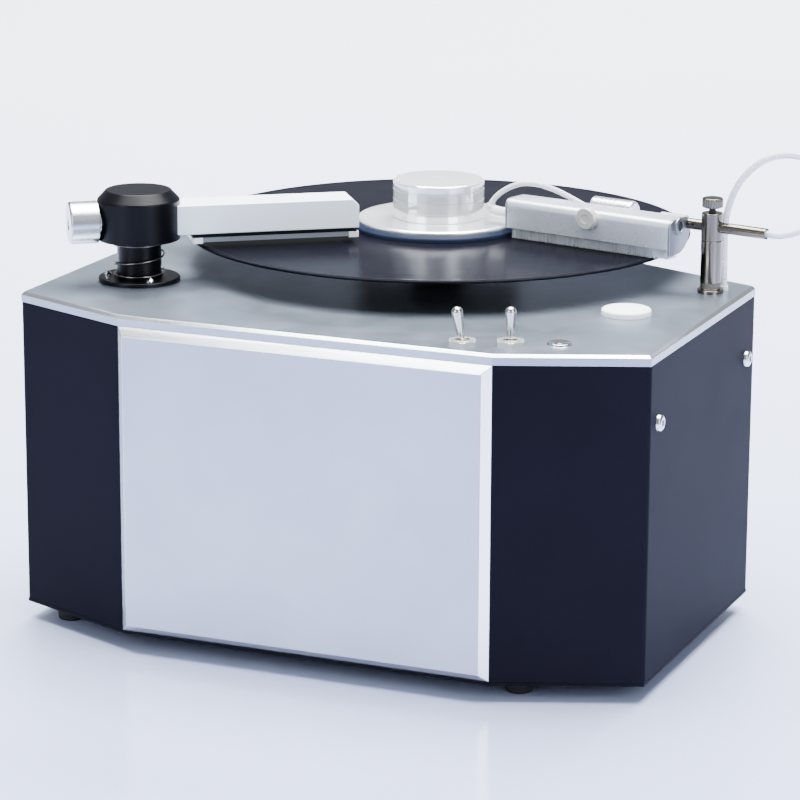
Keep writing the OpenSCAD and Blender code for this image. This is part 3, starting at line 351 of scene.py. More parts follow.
def show(name, shell, finishes, node=None, angle=32, weld=True, bends=None):
    """Adds a shell as a piece that stands for a node, by default the one of its own name: points that meet
    are welded and faces turned outwards."""
    mesh = bpy.data.meshes.new(name)
    mesh.from_pydata(shell.points.tolist(), [], shell.faces)
    layer = mesh.uv_layers.new(name="Surface")
    index = np.empty(len(mesh.loops), np.int32)
    mesh.loops.foreach_get("vertex_index", index)
    layer.data.foreach_set("uv", shell.uv[index].ravel())
    mesh.polygons.foreach_set("material_index", np.array(shell.finish, np.int32))
    if weld:
        work = bmesh.new()
        work.from_mesh(mesh)
        bmesh.ops.remove_doubles(work, verts=work.verts, dist=2e-7)
        bmesh.ops.dissolve_degenerate(work, edges=work.edges, dist=1e-8)
        bmesh.ops.recalc_face_normals(work, faces=work.faces)
        work.to_mesh(mesh)
        work.free()
    mesh.update()
    obj = bpy.data.objects.new(name, mesh)
    bpy.context.scene.collection.objects.link(obj)
    finish_mesh(obj, angle, 0)
    return settle(obj, finishes, node or name.lower(), bends)


def dressed(name, finishes, bevel=0.2, pick=None):
    """A merged copy of the CAD node of the same name, with its flat faces joined, eased edges and a finish.
    pick(middles, normals) gives each face's finish number."""
    mesh = frame["nodes"][name.lower()].data.copy()
    mesh.name = name
    mesh.materials.clear()
    work = bmesh.new()
    work.from_mesh(mesh)
    bmesh.ops.remove_doubles(work, verts=work.verts, dist=2e-6)
    bmesh.ops.dissolve_limit(
        work, angle_limit=math.radians(0.6), verts=work.verts, edges=work.edges, delimit={"NORMAL"})
    work.to_mesh(mesh)
    work.free()
    mesh.update()
    chosen = np.zeros(len(mesh.polygons), np.int32)
    if pick is not None:
        centre, normal = np.empty((2, len(chosen) * 3))
        mesh.polygons.foreach_get("center", centre)
        mesh.polygons.foreach_get("normal", normal)
        chosen = pick(centre.reshape(-1, 3), normal.reshape(-1, 3)).astype(np.int32)
    mesh.polygons.foreach_set("material_index", chosen)
    obj = bpy.data.objects.new(name, mesh)
    bpy.context.scene.collection.objects.link(obj)
    finish_mesh(obj, 28, bevel)
    return settle(obj, finishes, name.lower())


def paint(node, name):
    """Gives a CAD node that stays its finish."""
    obj = frame["nodes"][node]
    if not obj.material_slots:
        obj.data.materials.append(finish(name))
    for part in obj.material_slots:
        part.material = finish(name)


# Finishes

def linear(r, g, b):
    """A screen colour from 0 to 255 as a linear colour."""
    c = np.array([r, g, b]) / 255
    c = np.where(c <= 0.04045, c / 12.92, ((c + 0.055) / 1.055) ** 2.4)
    return (*[float(v) for v in c], 1.0)


class Tree:
    """A node tree with short calls to add and link its nodes."""

    def __init__(self, tree):
        self.tree = tree

    def add(self, kind, values=None, **settings):
        node = self.tree.nodes.new(kind)
        for key, value in settings.items():
            setattr(node, key, value)
        for key, value in (values or {}).items():
            socket = node.inputs[key]
            if isinstance(value, bpy.types.NodeSocket):
                self.tree.links.new(value, socket)
            else:
                socket.default_value = value
        return node

    def link(self, a, b):
        self.tree.links.new(a, b)

    def math(self, operation, a, b=0.5, clamp=False):
        return self.add("ShaderNodeMath", {0: a, 1: b}, operation=operation, use_clamp=clamp).outputs[0]

    def between(self, value, low, high, to_low=0.0, to_high=1.0):
        return self.add("ShaderNodeMapRange", {
            "Value": value, "From Min": low, "From Max": high, "To Min": to_low, "To Max": to_high}).outputs[0]

    def noise(self, where, scale, detail, roughness=0.5, **more):
        return self.add("ShaderNodeTexNoise", {
            "Vector": where, "Scale": scale, "Detail": detail, "Roughness": roughness, **more}).outputs["Fac"]

    def mixed(self, factor, a, b):
        node = self.add("ShaderNodeMix", data_type="RGBA")
        for socket, value in ((node.inputs[0], factor), (node.inputs[6], a), (node.inputs[7], b)):
            if isinstance(value, bpy.types.NodeSocket):
                self.link(value, socket)
            else:
                socket.default_value = value
        return node.outputs[2]


def effect(name, inputs, outputs, build):
    """A shader node group that is built once. inputs and outputs are names with their kinds and defaults."""
    if name in bpy.data.node_groups:
        return bpy.data.node_groups[name]
    group = bpy.data.node_groups.new(name, "ShaderNodeTree")
    for key, kind, default in inputs:
        socket = group.interface.new_socket(key, in_out="INPUT", socket_type="NodeSocket" + kind)
        if default is not None:
            socket.default_value = default
    for key, kind in outputs:
        group.interface.new_socket(key, in_out="OUTPUT", socket_type="NodeSocket" + kind)
    tree = Tree(group)
    source = tree.add("NodeGroupInput")
    end = tree.add("NodeGroupOutput")
    for key, socket in build(tree, source.outputs).items():
        tree.link(socket, end.inputs[key])
    return group


def blast_group():
    """Bead-blasted metal: fine noise for height, and a broad slow cloud that shifts its tone."""
    def build(t, given):
        where = t.add("ShaderNodeTexCoord").outputs["Object"]
        fine = t.noise(where, given["Grain"], 3.0, 0.7)
        broad = t.noise(where, given["Cloud"], 4.0, 0.55)
        return {"Height": fine, "Cloud": t.between(broad, 0.3, 0.7), "Speck": t.between(fine, 0.35, 0.65)}
    return effect("Blasted metal", [("Grain", "Float", 4000.0), ("Cloud", "Float", 14.0)],
                  [("Height", "Float"), ("Cloud", "Float"), ("Speck", "Float")], build)


def brushed_group():
    """Brushed lines: noise drawn out along one direction by a scale of a few percent."""
    def build(t, given):
        where = t.add("ShaderNodeTexCoord").outputs["Object"]
        drawn = t.add("ShaderNodeMapping", {"Vector": where, "Scale": (0.02, 1.0, 1.0)}).outputs[0]
        lines = t.noise(drawn, given["Grain"], 4.0, 0.65)
        return {"Height": lines, "Lines": t.between(lines, 0.3, 0.7)}
    return effect("Brushed lines", [("Grain", "Float", 2500.0)], [("Height", "Float"), ("Lines", "Float")], build)


def turning_group():
    """Turning marks: noise that depends only on the way along the turned profile."""
    def build(t, given):
        where = t.add("ShaderNodeUVMap", uv_map="Surface").outputs[0]
        along = t.add("ShaderNodeSeparateXYZ", {"Vector": where}).outputs["Y"]
        step = t.math("MULTIPLY", along, given["Pitch"])
        rings = t.add("ShaderNodeTexNoise", {"W": step, "Scale": 1.0, "Detail": 3.0, "Roughness": 0.6},
                      noise_dimensions="1D").outputs["Fac"]
        return {"Height": rings, "Rings": t.between(rings, 0.3, 0.7)}
    return effect("Turning marks", [("Pitch", "Float", 800.0)], [("Height", "Float"), ("Rings", "Float")], build)


def edge_group():
    """Worn edges: where the normal of a slightly rounded edge leaves the face's own, broken up by noise."""
    def build(t, given):
        rounded = t.add("ShaderNodeBevel", {"Radius": given["Width"]}, samples=4).outputs[0]
        flat = t.add("ShaderNodeNewGeometry").outputs["Normal"]
        same = t.add("ShaderNodeVectorMath", {0: rounded, 1: flat}, operation="DOT_PRODUCT").outputs["Value"]
        where = t.add("ShaderNodeTexCoord").outputs["Object"]
        broken = t.noise(where, 350.0, 4.0)
        mask = t.between(t.math("SUBTRACT", 1.0, same), 0.01, 0.2)
        return {"Mask": t.math("MULTIPLY", mask, t.between(broken, 0.3, 0.6), clamp=True)}
    return effect("Worn edges", [("Width", "Float", 0.0006)], [("Mask", "Float")], build)


def dust_group():
    """Settled dust: small specks and a thin film, only on what faces up."""
    def build(t, given):
        where = t.add("ShaderNodeTexCoord").outputs["Object"]
        normal = t.add("ShaderNodeNewGeometry").outputs["Normal"]
        up = t.add("ShaderNodeSeparateXYZ", {"Vector": normal}).outputs["Z"]
        specks = t.noise(where, 900.0, 2.0)
        film = t.noise(where, 25.0, 3.0)
        both = t.math("ADD", t.between(specks, 0.66, 0.74), t.between(film, 0.4, 0.8, 0.0, 0.25))
        facing = t.between(up, 0.4, 0.9)
        return {"Mask": t.math("MULTIPLY", t.math("MULTIPLY", both, facing), given["Amount"], clamp=True)}
    return effect("Settled dust", [("Amount", "Float", 0.1)], [("Mask", "Float")], build)


def handled_group():
    """Handling: soft patches that make a surface a little duller."""
    def build(t, given):
        where = t.add("ShaderNodeTexCoord").outputs["Object"]
        patches = t.noise(where, given["Size"], 5.0, 0.6, Distortion=0.4)
        return {"Patches": t.between(patches, 0.35, 0.7)}
    return effect("Handling", [("Size", "Float", 40.0)], [("Patches", "Float")], build)


def place(tree, group, **values):
    """Places a group in a material with its own values, and gives its outputs."""
    node = tree.add("ShaderNodeGroup", node_tree=group)
    for key, value in values.items():
        node.inputs[key].default_value = value
    return node.outputs


def principled(name, **values):
    """A new material, its tree and its shader's inputs, with the given values set on the shader itself."""
    material = bpy.data.materials.new(name)
    material.use_nodes = True
    tree = Tree(material.node_tree)
    shader = next(n for n in material.node_tree.nodes if n.type == "BSDF_PRINCIPLED")
    for key, value in values.items():
        shader.inputs[key.replace("_", " ")].default_value = value
    return material, tree, shader.inputs


def bump(tree, inputs, height, strength, distance=0.0001):
    """Lifts the surface by a height, over a distance in metres."""
    node = tree.add("ShaderNodeBump", {"Height": height, "Strength": strength, "Distance": distance})
    tree.link(node.outputs[0], inputs["Normal"])


def worn(tree, colour, edge, width, amount):
    """A colour that gives way to the edge's where an edge is worn."""
    mask = place(tree, edge_group(), Width=width)["Mask"]
    return tree.mixed(tree.math("MULTIPLY", mask, amount), colour, linear(*edge))


def drift(tree, inputs, size, low, high):
    """A roughness that drifts between two values in soft patches."""
    patches = place(tree, handled_group(), Size=size)["Patches"]
    tree.link(tree.between(patches, 0, 1, low, high), inputs["Roughness"])


def along_rings(tree, inputs):
    """Turns the shader's tangent along the turning marks."""
    tangent = tree.add("ShaderNodeTangent", direction_type="UV_MAP", uv_map="Surface").outputs[0]
    tree.link(tangent, inputs["Tangent"])


def blasted_metal(name, light, dark, rough, wear=0.0, metallic=1.0):
    """Bead-blasted or satin metal: its tone and roughness drift slowly, its grain lifts the surface, and worn
    edges are brighter."""
    material, t, inputs = principled(name, Metallic=metallic)
    grain_out = place(t, blast_group(), Grain=4000.0, Cloud=14.0)
    colour = t.mixed(grain_out["Cloud"], linear(*dark), linear(*light))
    colour = t.mixed(t.math("MULTIPLY", grain_out["Speck"], 0.12), colour, linear(*dark))
    if wear:
        colour = worn(t, colour, (245, 247, 250), 0.0005, wear)
    t.link(colour, inputs["Base Color"])
    drift(t, inputs, 30.0, rough - 0.025, rough + 0.035)
    bump(t, inputs, grain_out["Height"], 0.12)
    return material


def brushed_metal(name, light, dark, rough):
    """Brushed metal: drawn-out lines in its tone, roughness and height."""
    material, t, inputs = principled(name, Metallic=1.0, Anisotropic=0.5)
    lines = place(t, brushed_group(), Grain=2500.0)
    t.link(t.mixed(lines["Lines"], linear(*dark), linear(*light)), inputs["Base Color"])
    t.link(t.between(lines["Lines"], 0, 1, rough + 0.05, rough - 0.04), inputs["Roughness"])
    bump(t, inputs, lines["Height"], 0.1)
    return material


def turned_metal(name, light, dark, rough, pitch=800.0, anisotropic=0.6, height=0.15, metallic=1.0):
    """Turned metal: rings along the profile, and highlights drawn out across them."""
    material, t, inputs = principled(name, Metallic=metallic, Anisotropic=anisotropic)
    rings = place(t, turning_group(), Pitch=pitch)
    t.link(t.mixed(rings["Rings"], linear(*dark), linear(*light)), inputs["Base Color"])
    drift(t, inputs, 60.0, rough - 0.02, rough + 0.03)
    along_rings(t, inputs)
    bump(t, inputs, rings["Height"], height, 0.00005)
    return material


def coated(name, light, dark, rough, grain=2200.0, height=0.25, wear=0.0, shine=0.5, spread=0.08):
    """Powder coat, paint or moulded plastic: a fine orange-peel height, patches in tone and roughness, and
    paler worn edges."""
    material, t, inputs = principled(name, Metallic=0.0, Specular_IOR_Level=shine)
    grain_out = place(t, blast_group(), Grain=grain, Cloud=9.0)
    colour = t.mixed(grain_out["Cloud"], linear(*dark), linear(*light))
    if wear:
        colour = worn(t, colour, (150, 152, 158), 0.0006, wear)
    t.link(colour, inputs["Base Color"])
    drift(t, inputs, 22.0, rough - 0.4 * spread, rough + 0.6 * spread)
    bump(t, inputs, grain_out["Height"], height)
    return material


def pressed_vinyl(name):
    """Pressed vinyl: fine groove rings that stretch the light across them, lighter bands painted into its tone as
    the sheen of the gaps between tracks, and a little dust."""
    material, t, inputs = principled(name, Metallic=0.0, Anisotropic=0.7, Specular_IOR_Level=0.014)
    rings = place(t, turning_group(), Pitch=2600.0)
    bands = place(t, turning_group(), Pitch=60.0)
    # painted sheen: lighter bands in the base colour stand in for the brighter reflection between tracks
    tone = t.mixed(t.math("MULTIPLY", bands["Rings"], 0.5), linear(9, 9, 15), linear(17, 17, 25))
    tone = t.mixed(place(t, dust_group(), Amount=0.05)["Mask"], tone, linear(120, 120, 125))
    t.link(tone, inputs["Base Color"])
    t.link(t.between(rings["Rings"], 0, 1, 0.17, 0.24), inputs["Roughness"])
    along_rings(t, inputs)
    bump(t, inputs, rings["Height"], 0.12, 0.00004)
    return material


def clear_plastic(name, tint, rough, transmission, weight=0.0):
    """Clear or milky plastic: a faint cloud in its tone and roughness."""
    material, t, inputs = principled(
        name, Metallic=0.0, IOR=1.42, Transmission_Weight=transmission, Subsurface_Weight=weight,
        Subsurface_Scale=0.002)
    patches = place(t, handled_group(), Size=90.0)["Patches"]
    paler = [min(255, v + 8) for v in tint]
    t.link(t.mixed(patches, linear(*tint), linear(*paler)), inputs["Base Color"])
    t.link(t.between(patches, 0, 1, rough - 0.02, rough + 0.05), inputs["Roughness"])
    return material


def bristle_nylon(name):
    """Nylon bristles: each strand has its own tone, from noise that hardly changes along its length."""
    material, t, inputs = principled(name, Metallic=0.0, Subsurface_Weight=0.1, Subsurface_Scale=0.002)
    where = t.add("ShaderNodeTexCoord").outputs["Object"]
    where = t.add("ShaderNodeMapping", {"Vector": where, "Scale": (1.0, 1.0, 0.04)}).outputs[0]
    tone = t.noise(where, 700.0, 3.0, 0.7)
    colour = t.mixed(t.between(tone, 0.36, 0.66), linear(188, 191, 200), linear(248, 250, 253))
    t.link(colour, inputs["Base Color"])
    t.link(t.between(tone, 0.3, 0.7, 0.3, 0.5), inputs["Roughness"])
    return material


# Each finish's short name with its maker: the material's name, its light and dark tones, and its roughness
MAKERS = {
    "plate": lambda: blasted_metal("Blasted plate", (160, 170, 184), (152, 162, 175), 0.35),
    "front": lambda: blasted_metal("Front panel", (174, 179, 191), (167, 172, 184), 0.36, wear=0.7),
    "cut": lambda: brushed_metal("Bright cut edges", (244, 245, 248), (232, 234, 238), 0.2),
    "cover": lambda: coated(
        "Powder-coated covers", (22, 21, 30), (19, 18, 26), 0.45, wear=0.03, shine=0.014, spread=0.02),
    "base": lambda: coated("Black base", (14, 14, 22), (9, 9, 14), 0.5, shine=0.05, spread=0.02),
    "inner": lambda: blasted_metal("Inner aluminium", (150, 153, 158), (135, 138, 143), 0.45),
    "screw": lambda: turned_metal("Bright screws", (226, 228, 232), (196, 198, 204), 0.16, anisotropic=0.3),
    "bright": lambda: turned_metal("Bright steel", (224, 226, 230), (202, 204, 210), 0.12, anisotropic=0.4),
    "rubber": lambda: coated("Foot rubber", (26, 26, 30), (18, 18, 21), 0.75, height=0.5),
    "black": lambda: coated(
        "Black anodised column", (4, 4, 8), (3, 3, 6), 0.32, grain=3500.0, height=0.1, shine=0.13),
    "bronze": lambda: blasted_metal("Bronze", (176, 141, 79), (150, 118, 62), 0.3),
    "spring": lambda: turned_metal("Spring wire", (128, 124, 120), (100, 97, 94), 0.25, anisotropic=0.2),
    "arm": lambda: blasted_metal("Arm tube", (236, 246, 255), (230, 241, 254), 0.3, wear=0.5, metallic=0.05),
    # partly painted shade: the near-black gasket is a rubber strip and also stands in for the shaded gap between
    # the tube and the nozzle bar
    "gasket": lambda: coated("Gasket rubber and gap shade", (13, 13, 18), (9, 9, 12), 0.7, shine=0.1),
    "nozzle": lambda: coated("Grey nozzle", (118, 123, 134), (108, 113, 124), 0.4, shine=0.2),
    "nozzle_end": lambda: coated("White nozzle ends", (240, 242, 245), (228, 230, 235), 0.35),
    "weight": lambda: turned_metal("Polished weight", (214, 215, 218), (192, 194, 198), 0.2, anisotropic=0.8),
    "vinyl": lambda: pressed_vinyl("Record vinyl"),
    "platter": lambda: coated("Black platter", (22, 22, 30), (17, 17, 24), 0.45, shine=0.06),
    "seal": lambda: coated("Blue seal ring", (30, 37, 56), (25, 31, 48), 0.4, shine=0.08),
    "turned": lambda: turned_metal(
        "Turned aluminium", (248, 249, 251), (232, 234, 238), 0.2, anisotropic=0.8, metallic=0.75),
    "puck": lambda: turned_metal(
        "Polished puck", (252, 253, 254), (243, 245, 248), 0.08,
        pitch=300.0, anisotropic=0.2, height=0.04, metallic=0.62),
    "pulley": lambda: blasted_metal("Pulleys", (172, 175, 180), (150, 153, 158), 0.3),
    "belt": lambda: coated("Drive belt", (30, 30, 32), (22, 22, 24), 0.8),
    "motor": lambda: coated("Motor shell", (92, 95, 100), (78, 81, 86), 0.45),
    "pump": lambda: coated("Pump shell", (64, 68, 74), (52, 56, 62), 0.5),
    "tank": lambda: clear_plastic("Milky tank", (205, 212, 218), 0.4, 0.0, weight=0.3),
    "board": lambda: coated("Circuit board", (34, 96, 64), (26, 80, 52), 0.5),
    "switch": lambda: coated("Switch body", (42, 42, 47), (34, 34, 38), 0.5),
    "bush": lambda: blasted_metal("Nickel bushes", (216, 214, 208), (198, 196, 190), 0.3, metallic=0.8),
    "nut": lambda: turned_metal(
        "Nickel nuts", (204, 202, 197), (184, 182, 177), 0.32, anisotropic=0.2, metallic=0.75),
    "knob": lambda: blasted_metal("Satin knob", (212, 209, 201), (200, 197, 189), 0.4, metallic=0.5),
    "dose": lambda: turned_metal(
        "Satin cylinder", (232, 235, 240), (212, 215, 221), 0.22, anisotropic=0.6, metallic=0.85),
    "nickel": lambda: turned_metal("Nickel", (206, 202, 196), (184, 180, 174), 0.15, anisotropic=0.4),
    "lens": lambda: coated(
        "Lamp lens", (58, 64, 80), (46, 52, 68), 0.12, height=0.05, shine=1.0, spread=0.02),
    "cap": lambda: coated("White cap", (240, 241, 242), (230, 232, 234), 0.35),
    "hose": lambda: clear_plastic("Milky hose", (240, 243, 248), 0.25, 0.6, weight=0.2),
    "post": lambda: turned_metal("Polished post", (128, 121, 111), (108, 102, 93), 0.14, anisotropic=0.4),
    "head": lambda: blasted_metal("Brush housing", (215, 220, 229), (205, 210, 219), 0.28, metallic=0.6),
    "end": lambda: blasted_metal("End plates", (150, 153, 158), (140, 143, 148), 0.4, wear=0.9),
    "nylon": lambda: bristle_nylon("Nylon bristles"),
    # painted shade: near-black that stands in for the shade in hollows, under the thumb screw's head and inside
    # the end plates' plug
    "dark": lambda: coated("Painted recess shade", (20, 20, 24), (12, 12, 15), 0.5),
}
FINISHES = {}


def finish(name):
    """A finish by its short name, made when it is first asked for."""
    if name not in FINISHES:
        FINISHES[name] = MAKERS[name]()
    return FINISHES[name]


# Sizes and colours that a user would change

def length(name, description, mm, low, high):
    return FloatProperty(
        name=name, description=description, default=mm * MM, min=low * MM, max=high * MM,
        unit="LENGTH", precision=5)


def colour(name, description, *rgb):
    return FloatVectorProperty(
        name=name, description=description, subtype="COLOR", size=4, min=0, max=1, default=linear(*rgb))


class CleanerSizes(bpy.types.PropertyGroup):
    """Sizes of the details that the dressed pieces add to the solids"""
    fold: length("Cover fold", "Outer radius of the folds in the side covers", 2.0, 0.5, 4)
    edge: length("Panel edge", "Radius of the panels' cut edges", 0.3, 0.05, 1)
    bead: length("Record bead", "Height of the raised bead at the record's rim", 0.3, 0.1, 0.6)
    wire: length("Spring wire", "Diameter of the column spring's wire", 1.1, 0.8, 1.4)
    knurl: length("Knurl depth", "Depth of the knurl on the post's foot and the thumb screw", 0.3, 0.1, 0.5)
    bristle: length("Bristle", "Thickness of one bristle", 0.24, 0.1, 0.5)
    rows: IntProperty(
        name="Bristle rows", description="Bristles across the strip", default=18, min=6, max=30)
    columns: IntProperty(
        name="Bristle columns", description="Bristles along the strip", default=190, min=60, max=260)
    camera_lens: FloatProperty(
        name="Camera lens", description="Focal length", default=155.95, min=50, max=300,
        subtype="DISTANCE_CAMERA")


class CleanerColours(bpy.types.PropertyGroup):
    """Colours of the stage"""
    # Floor is the tone in front, the darker end of the floor's painted light gradient
    floor: colour("Floor", "The pale floor", 166, 176, 214)
    sky: colour("Room", "The light room round the machine", 232, 237, 247)


class CleanerOperator(bpy.types.Operator):
    """One step in dressing the machine"""
    bl_options = {"REGISTER", "UNDO"}

    def execute(self, context):
        self.make(context.scene.cleaner_sizes)
        return {"FINISHED"}


# Each light's name, place, aim, width and height, power, tint, and whether shiny pieces mirror it
LIGHTS = (
    ("Overhead light", (0.0, 0.3, 2.6), (0.0, 0.1, 0), (2.6, 2.2), 522, (0.955, 0.98, 1.0), True),
    ("Left light", (-1.05, -2.6, 1.25), (0, 0, 0.2), (1.2, 1.8), 46, (0.915, 0.945, 1.0), True),
    ("Right light", (2.4, -1.4, 1.25), (0, 0, 0.2), (1.3, 1.8), 56, (0.915, 0.945, 1.0), True),
    ("Far light", (-1.2, 4.2, 3.4), (-1.2, 3.9, 0), (4.5, 2.4), 1900, (0.985, 0.99, 1.0), False))
CAMERA_AT = (0.755176, -1.8485, 0.63898)
CAMERA_TURN = (22.855, 14.653, 0.2505)  # degrees to the left of ahead, down, and anticlockwise
FLOOR_R, FLOOR_SIDES = 7, 96


def camera_axes(yaw, pitch, roll):
    """A camera's axes: ahead is (-sin yaw cos pitch, cos yaw cos pitch, -sin pitch), with right level and
    up across both, and these two are then turned round it by the roll."""
    ahead = np.array([-math.sin(yaw) * math.cos(pitch), math.cos(yaw) * math.cos(pitch), -math.sin(pitch)])
    right = np.array([math.cos(yaw), math.sin(yaw), 0])
    up = np.cross(right, ahead)
    return np.stack([
        math.cos(roll) * right + math.sin(roll) * up, math.cos(roll) * up - math.sin(roll) * right, -ahead], 1)


def stand(name, data, place=(0, 0, 0), axes=np.eye(3)):
    """Adds an object of the stage at a place in metres, turned to the given axes."""
    obj = bpy.data.objects.new(name, data)
    bpy.context.scene.collection.objects.link(obj)
    obj.matrix_world = Matrix.Translation(place) @ Matrix(axes.tolist()).to_4x4()
    return obj


class CLEANER_OT_stage(CleanerOperator):
    """Sets the camera, the floor and the soft lights"""
    bl_idname = "cleaner.stage"
    bl_label = "Stage"

    def make(self, sizes):
        colours = bpy.context.scene.cleaner_colours
        lens = bpy.data.cameras.new("Camera")
        lens.lens = sizes.camera_lens
        lens.sensor_width = 36
        lens.sensor_fit = "HORIZONTAL"
        lens.clip_end = 50
        turn = [math.radians(v) for v in CAMERA_TURN]
        bpy.context.scene.camera = stand("Camera", lens, CAMERA_AT, camera_axes(*turn))

        # the floor is a wide disc: (r cos a, r sin a, 0)
        a = np.linspace(0, 2 * np.pi, FLOOR_SIDES + 1)[:-1]
        points = np.column_stack([FLOOR_R * np.cos(a), FLOOR_R * np.sin(a), np.zeros(FLOOR_SIDES)])
        mesh = bpy.data.meshes.new("Floor")
        mesh.from_pydata(points.tolist(), [], [tuple(range(FLOOR_SIDES))])
        floor = stand("Floor", mesh)
        # its tone grows paler with the distance behind and to the left, Y less half of X: painted light, drawn
        # brighter behind and darker in front where less light falls
        material, t, inputs = principled("Pale floor", Roughness=0.14, Specular_IOR_Level=0.6)
        where = t.add("ShaderNodeTexCoord").outputs["Object"]
        across = t.add("ShaderNodeSeparateXYZ", {"Vector": where}).outputs
        behind = t.math("SUBTRACT", across["Y"], t.math("MULTIPLY", across["X"], 0.5))
        grain = place(t, blast_group(), Grain=60.0, Cloud=1.5)
        tone = t.mixed(t.between(behind, -0.6, 2.2), tuple(colours.floor), linear(226, 230, 240))
        tone = t.mixed(t.math("MULTIPLY", grain["Cloud"], 0.1), tone, linear(190, 202, 236))
        t.link(tone, inputs["Base Color"])
        mesh.materials.append(material)

        world = bpy.context.scene.world or bpy.data.worlds.new("Room")
        bpy.context.scene.world = world
        world.use_nodes = True
        room = next(n for n in world.node_tree.nodes if n.type == "BACKGROUND")
        room.inputs["Color"].default_value = tuple(colours.sky)
        room.inputs["Strength"].default_value = 0.5
        for name, spot, aim, size, power, tint, mirrored in LIGHTS:
            lamp = bpy.data.lights.new(name, "AREA")
            lamp.shape = "RECTANGLE"
            lamp.size, lamp.size_y = size
            lamp.energy = power
            lamp.color = tint
            back = np.subtract(spot, aim)
            light = stand(name, lamp, spot, Spot(spot).facing(back, np.cross((0, 0, 1), back)).axes)
            light.visible_glossy = mirrored


# The fluid hose's route from its fitting into the rod, in millimetres from the post
FLUID_ROUTE = (
    (5.1, 9, 6), (5, 9, 14), (4.9, 8.8, 24), (5, 8.4, 33), (5.8, 7.8, 42), (7.6, 7.2, 50),
    (10.6, 6.6, 58), (14.8, 6.4, 65.5), (20.4, 6.7, 72), (27.4, 7.6, 77.4), (34.9, 8.8, 80.4),
    (42.4, 9.4, 81.4), (49.9, 9.6, 80.4), (56.9, 9.4, 77), (62.4, 8.4, 71.5), (65.6, 6.6, 64.5),
    (66, 3.2, 57), (63.6, -0.8, 50.2), (58.7, -4.8, 44.6), (51.4, -8.2, 40.5), (43, -9.1, 38.4),
    (34.8, -7.4, 38.4), (25, -5.3, 38.4))
# The small hose's route: millimetres back from the brush's far end, from its front line, and over the plate
BRUSH_ROUTE = (
    (43.4, 29.5, 38), (36.9, 29.5, 38.4), (29.9, 28.4, 41.3), (22.9, 26.2, 44.7), (15.9, 23.8, 47.4),
    (7.9, 21, 49.2), (-0.1, 18, 49), (-7.1, 14.8, 46.2), (-12.5, 11.4, 41.8), (-15.5, 8.6, 37))


def hose(name, spot, route, radius, bore, bends=None):
    """A clear tube swept along a smooth curve through a route."""
    path = smooth_run(route, 10)
    obj = show(name, swept_shell(spot, path, radius, 20, bore=bore), "hose", bends=bends)
    line = spot(path)


class CLEANER_OT_hoses(CleanerOperator):
    """Runs the fluid hose from its fitting into the rod, and the small hose across the brush"""
    bl_idname = "cleaner.hoses"
    bl_label = "Hoses"

    def make(self, sizes):
        hose("Fluid_hose", POST, FLUID_ROUTE, 2.0, 1.3,
             bends=("case", "swivel", POST.at(5.1, 9, 6.6), POST.at(5.1, 9, 31.6)))
        route = [(HEAD_END - a, HEAD_FRONT - b, h - ROD_Z) for a, b, h in BRUSH_ROUTE]
        hose("Brush_hose", HEAD, route, 1.6, 1.0)


CASE_OUTLINE = np.array([
    [-112, 0], [112, 0], [190.5, 31.7], [190.5, 217.3], [112, 249], [-112, 249], [-190.5, 217.3], [-190.5, 31.7]])
COVER_T, COVER_LOW, COVER_TOP = 3.0, 12, 190  # the covers' sheet, and their lower and upper edges
SCREW_AT = [(side, y) for side in (-1, 1) for y in (46.2, 202.8)]
SCREW_Z = 155.8
FEET_AT = ((-167, 41), (-167, 208), (119.6, 26.6), (119.6, 222.4))


def hexagon(a, apothem):
    """How far a hexagon's side is from its middle in direction a: the apothem over the cosine of the angle
    between a and the middle of that side."""
    return apothem / np.cos((a + np.pi / 6) % (np.pi / 3) - np.pi / 6)


def hex_socket(a, r, z):
    """The cover screws' socket: inside 2.3 and above the socket's floor the circle becomes a hexagon."""
    return np.where((r < 2.3) & (z > 0.5), hexagon(a, 0.9 * r), r)


class CLEANER_OT_case(CleanerOperator):
    """Dresses the case: base, front and rear panels, folded covers, top plate, corner posts, screws and feet"""
    bl_idname = "cleaner.case"
    bl_label = "Case"

    def make(self, sizes):
        fold = sizes.fold / MM
        dressed("Base_plate", "base", bevel=0.3)
        dressed("Front_panel", ["front", "cut"], bevel=0.3,
                pick=lambda c, n: (n[:, 1] < -0.3) & (n[:, 1] > -0.95))
        dressed("Rear_panel", "cover", bevel=0.3)
        dressed("Top_plate", ["plate", "front", "cut"],
                pick=lambda c, n: np.select([n[:, 2] > 0.95, n[:, 2] > 0.3], [0, 2], 1))
        paint("corner_posts", "inner")
        # a cover is the outline's right side and the same run drawn in by the sheet, mirrored for the left
        strip = np.concatenate([CASE_OUTLINE[1:5], drawn_in(CASE_OUTLINE, COVER_T)[4:0:-1]])
        strip = eased(strip, [0.3, fold, fold, 0.3, 0.3, 0.4, 0.4, 0.3], 5, closed=True)
        for name, side in (("Left_cover", -1), ("Right_cover", 1)):
            section = (strip * [side, 1])[::side]
            show(name, prism(CASE, section, COVER_LOW, COVER_TOP, sizes.edge / MM), "cover")
        rim = eased([[2.0, 0.7], [2.0, 2.7], [3.4, 2.55], [4.5, 1.8], [5.0, 0.2], [5.0, 0.0]], 0.35, 4)
        dome = np.concatenate([[[0, 0.7], [2.0, 0.7]], rim[1:], [[0, 0]]])
        spots = [CASE.moved(side * CASE_HALF, y, SCREW_Z).facing((side, 0, 0), (0, 1, 0)) for side, y in SCREW_AT]
        heads = joined(*[turned_shell(spot, dome, 48, hex_socket) for spot in spots])
        show("Cover_screws", heads, "screw", node="panel_screws")
        foot = [[0, 4], [3.2, 4], [3.2, 0], [7.6, 0], [8.5, 10], [0, 10]]
        feet = [lathe(CASE.moved(x, y), foot, [0, 0.3, 0.5, 1.2, 0.4, 0], 5, 64) for x, y in FEET_AT]
        show("Feet", joined(*feet), "rubber")


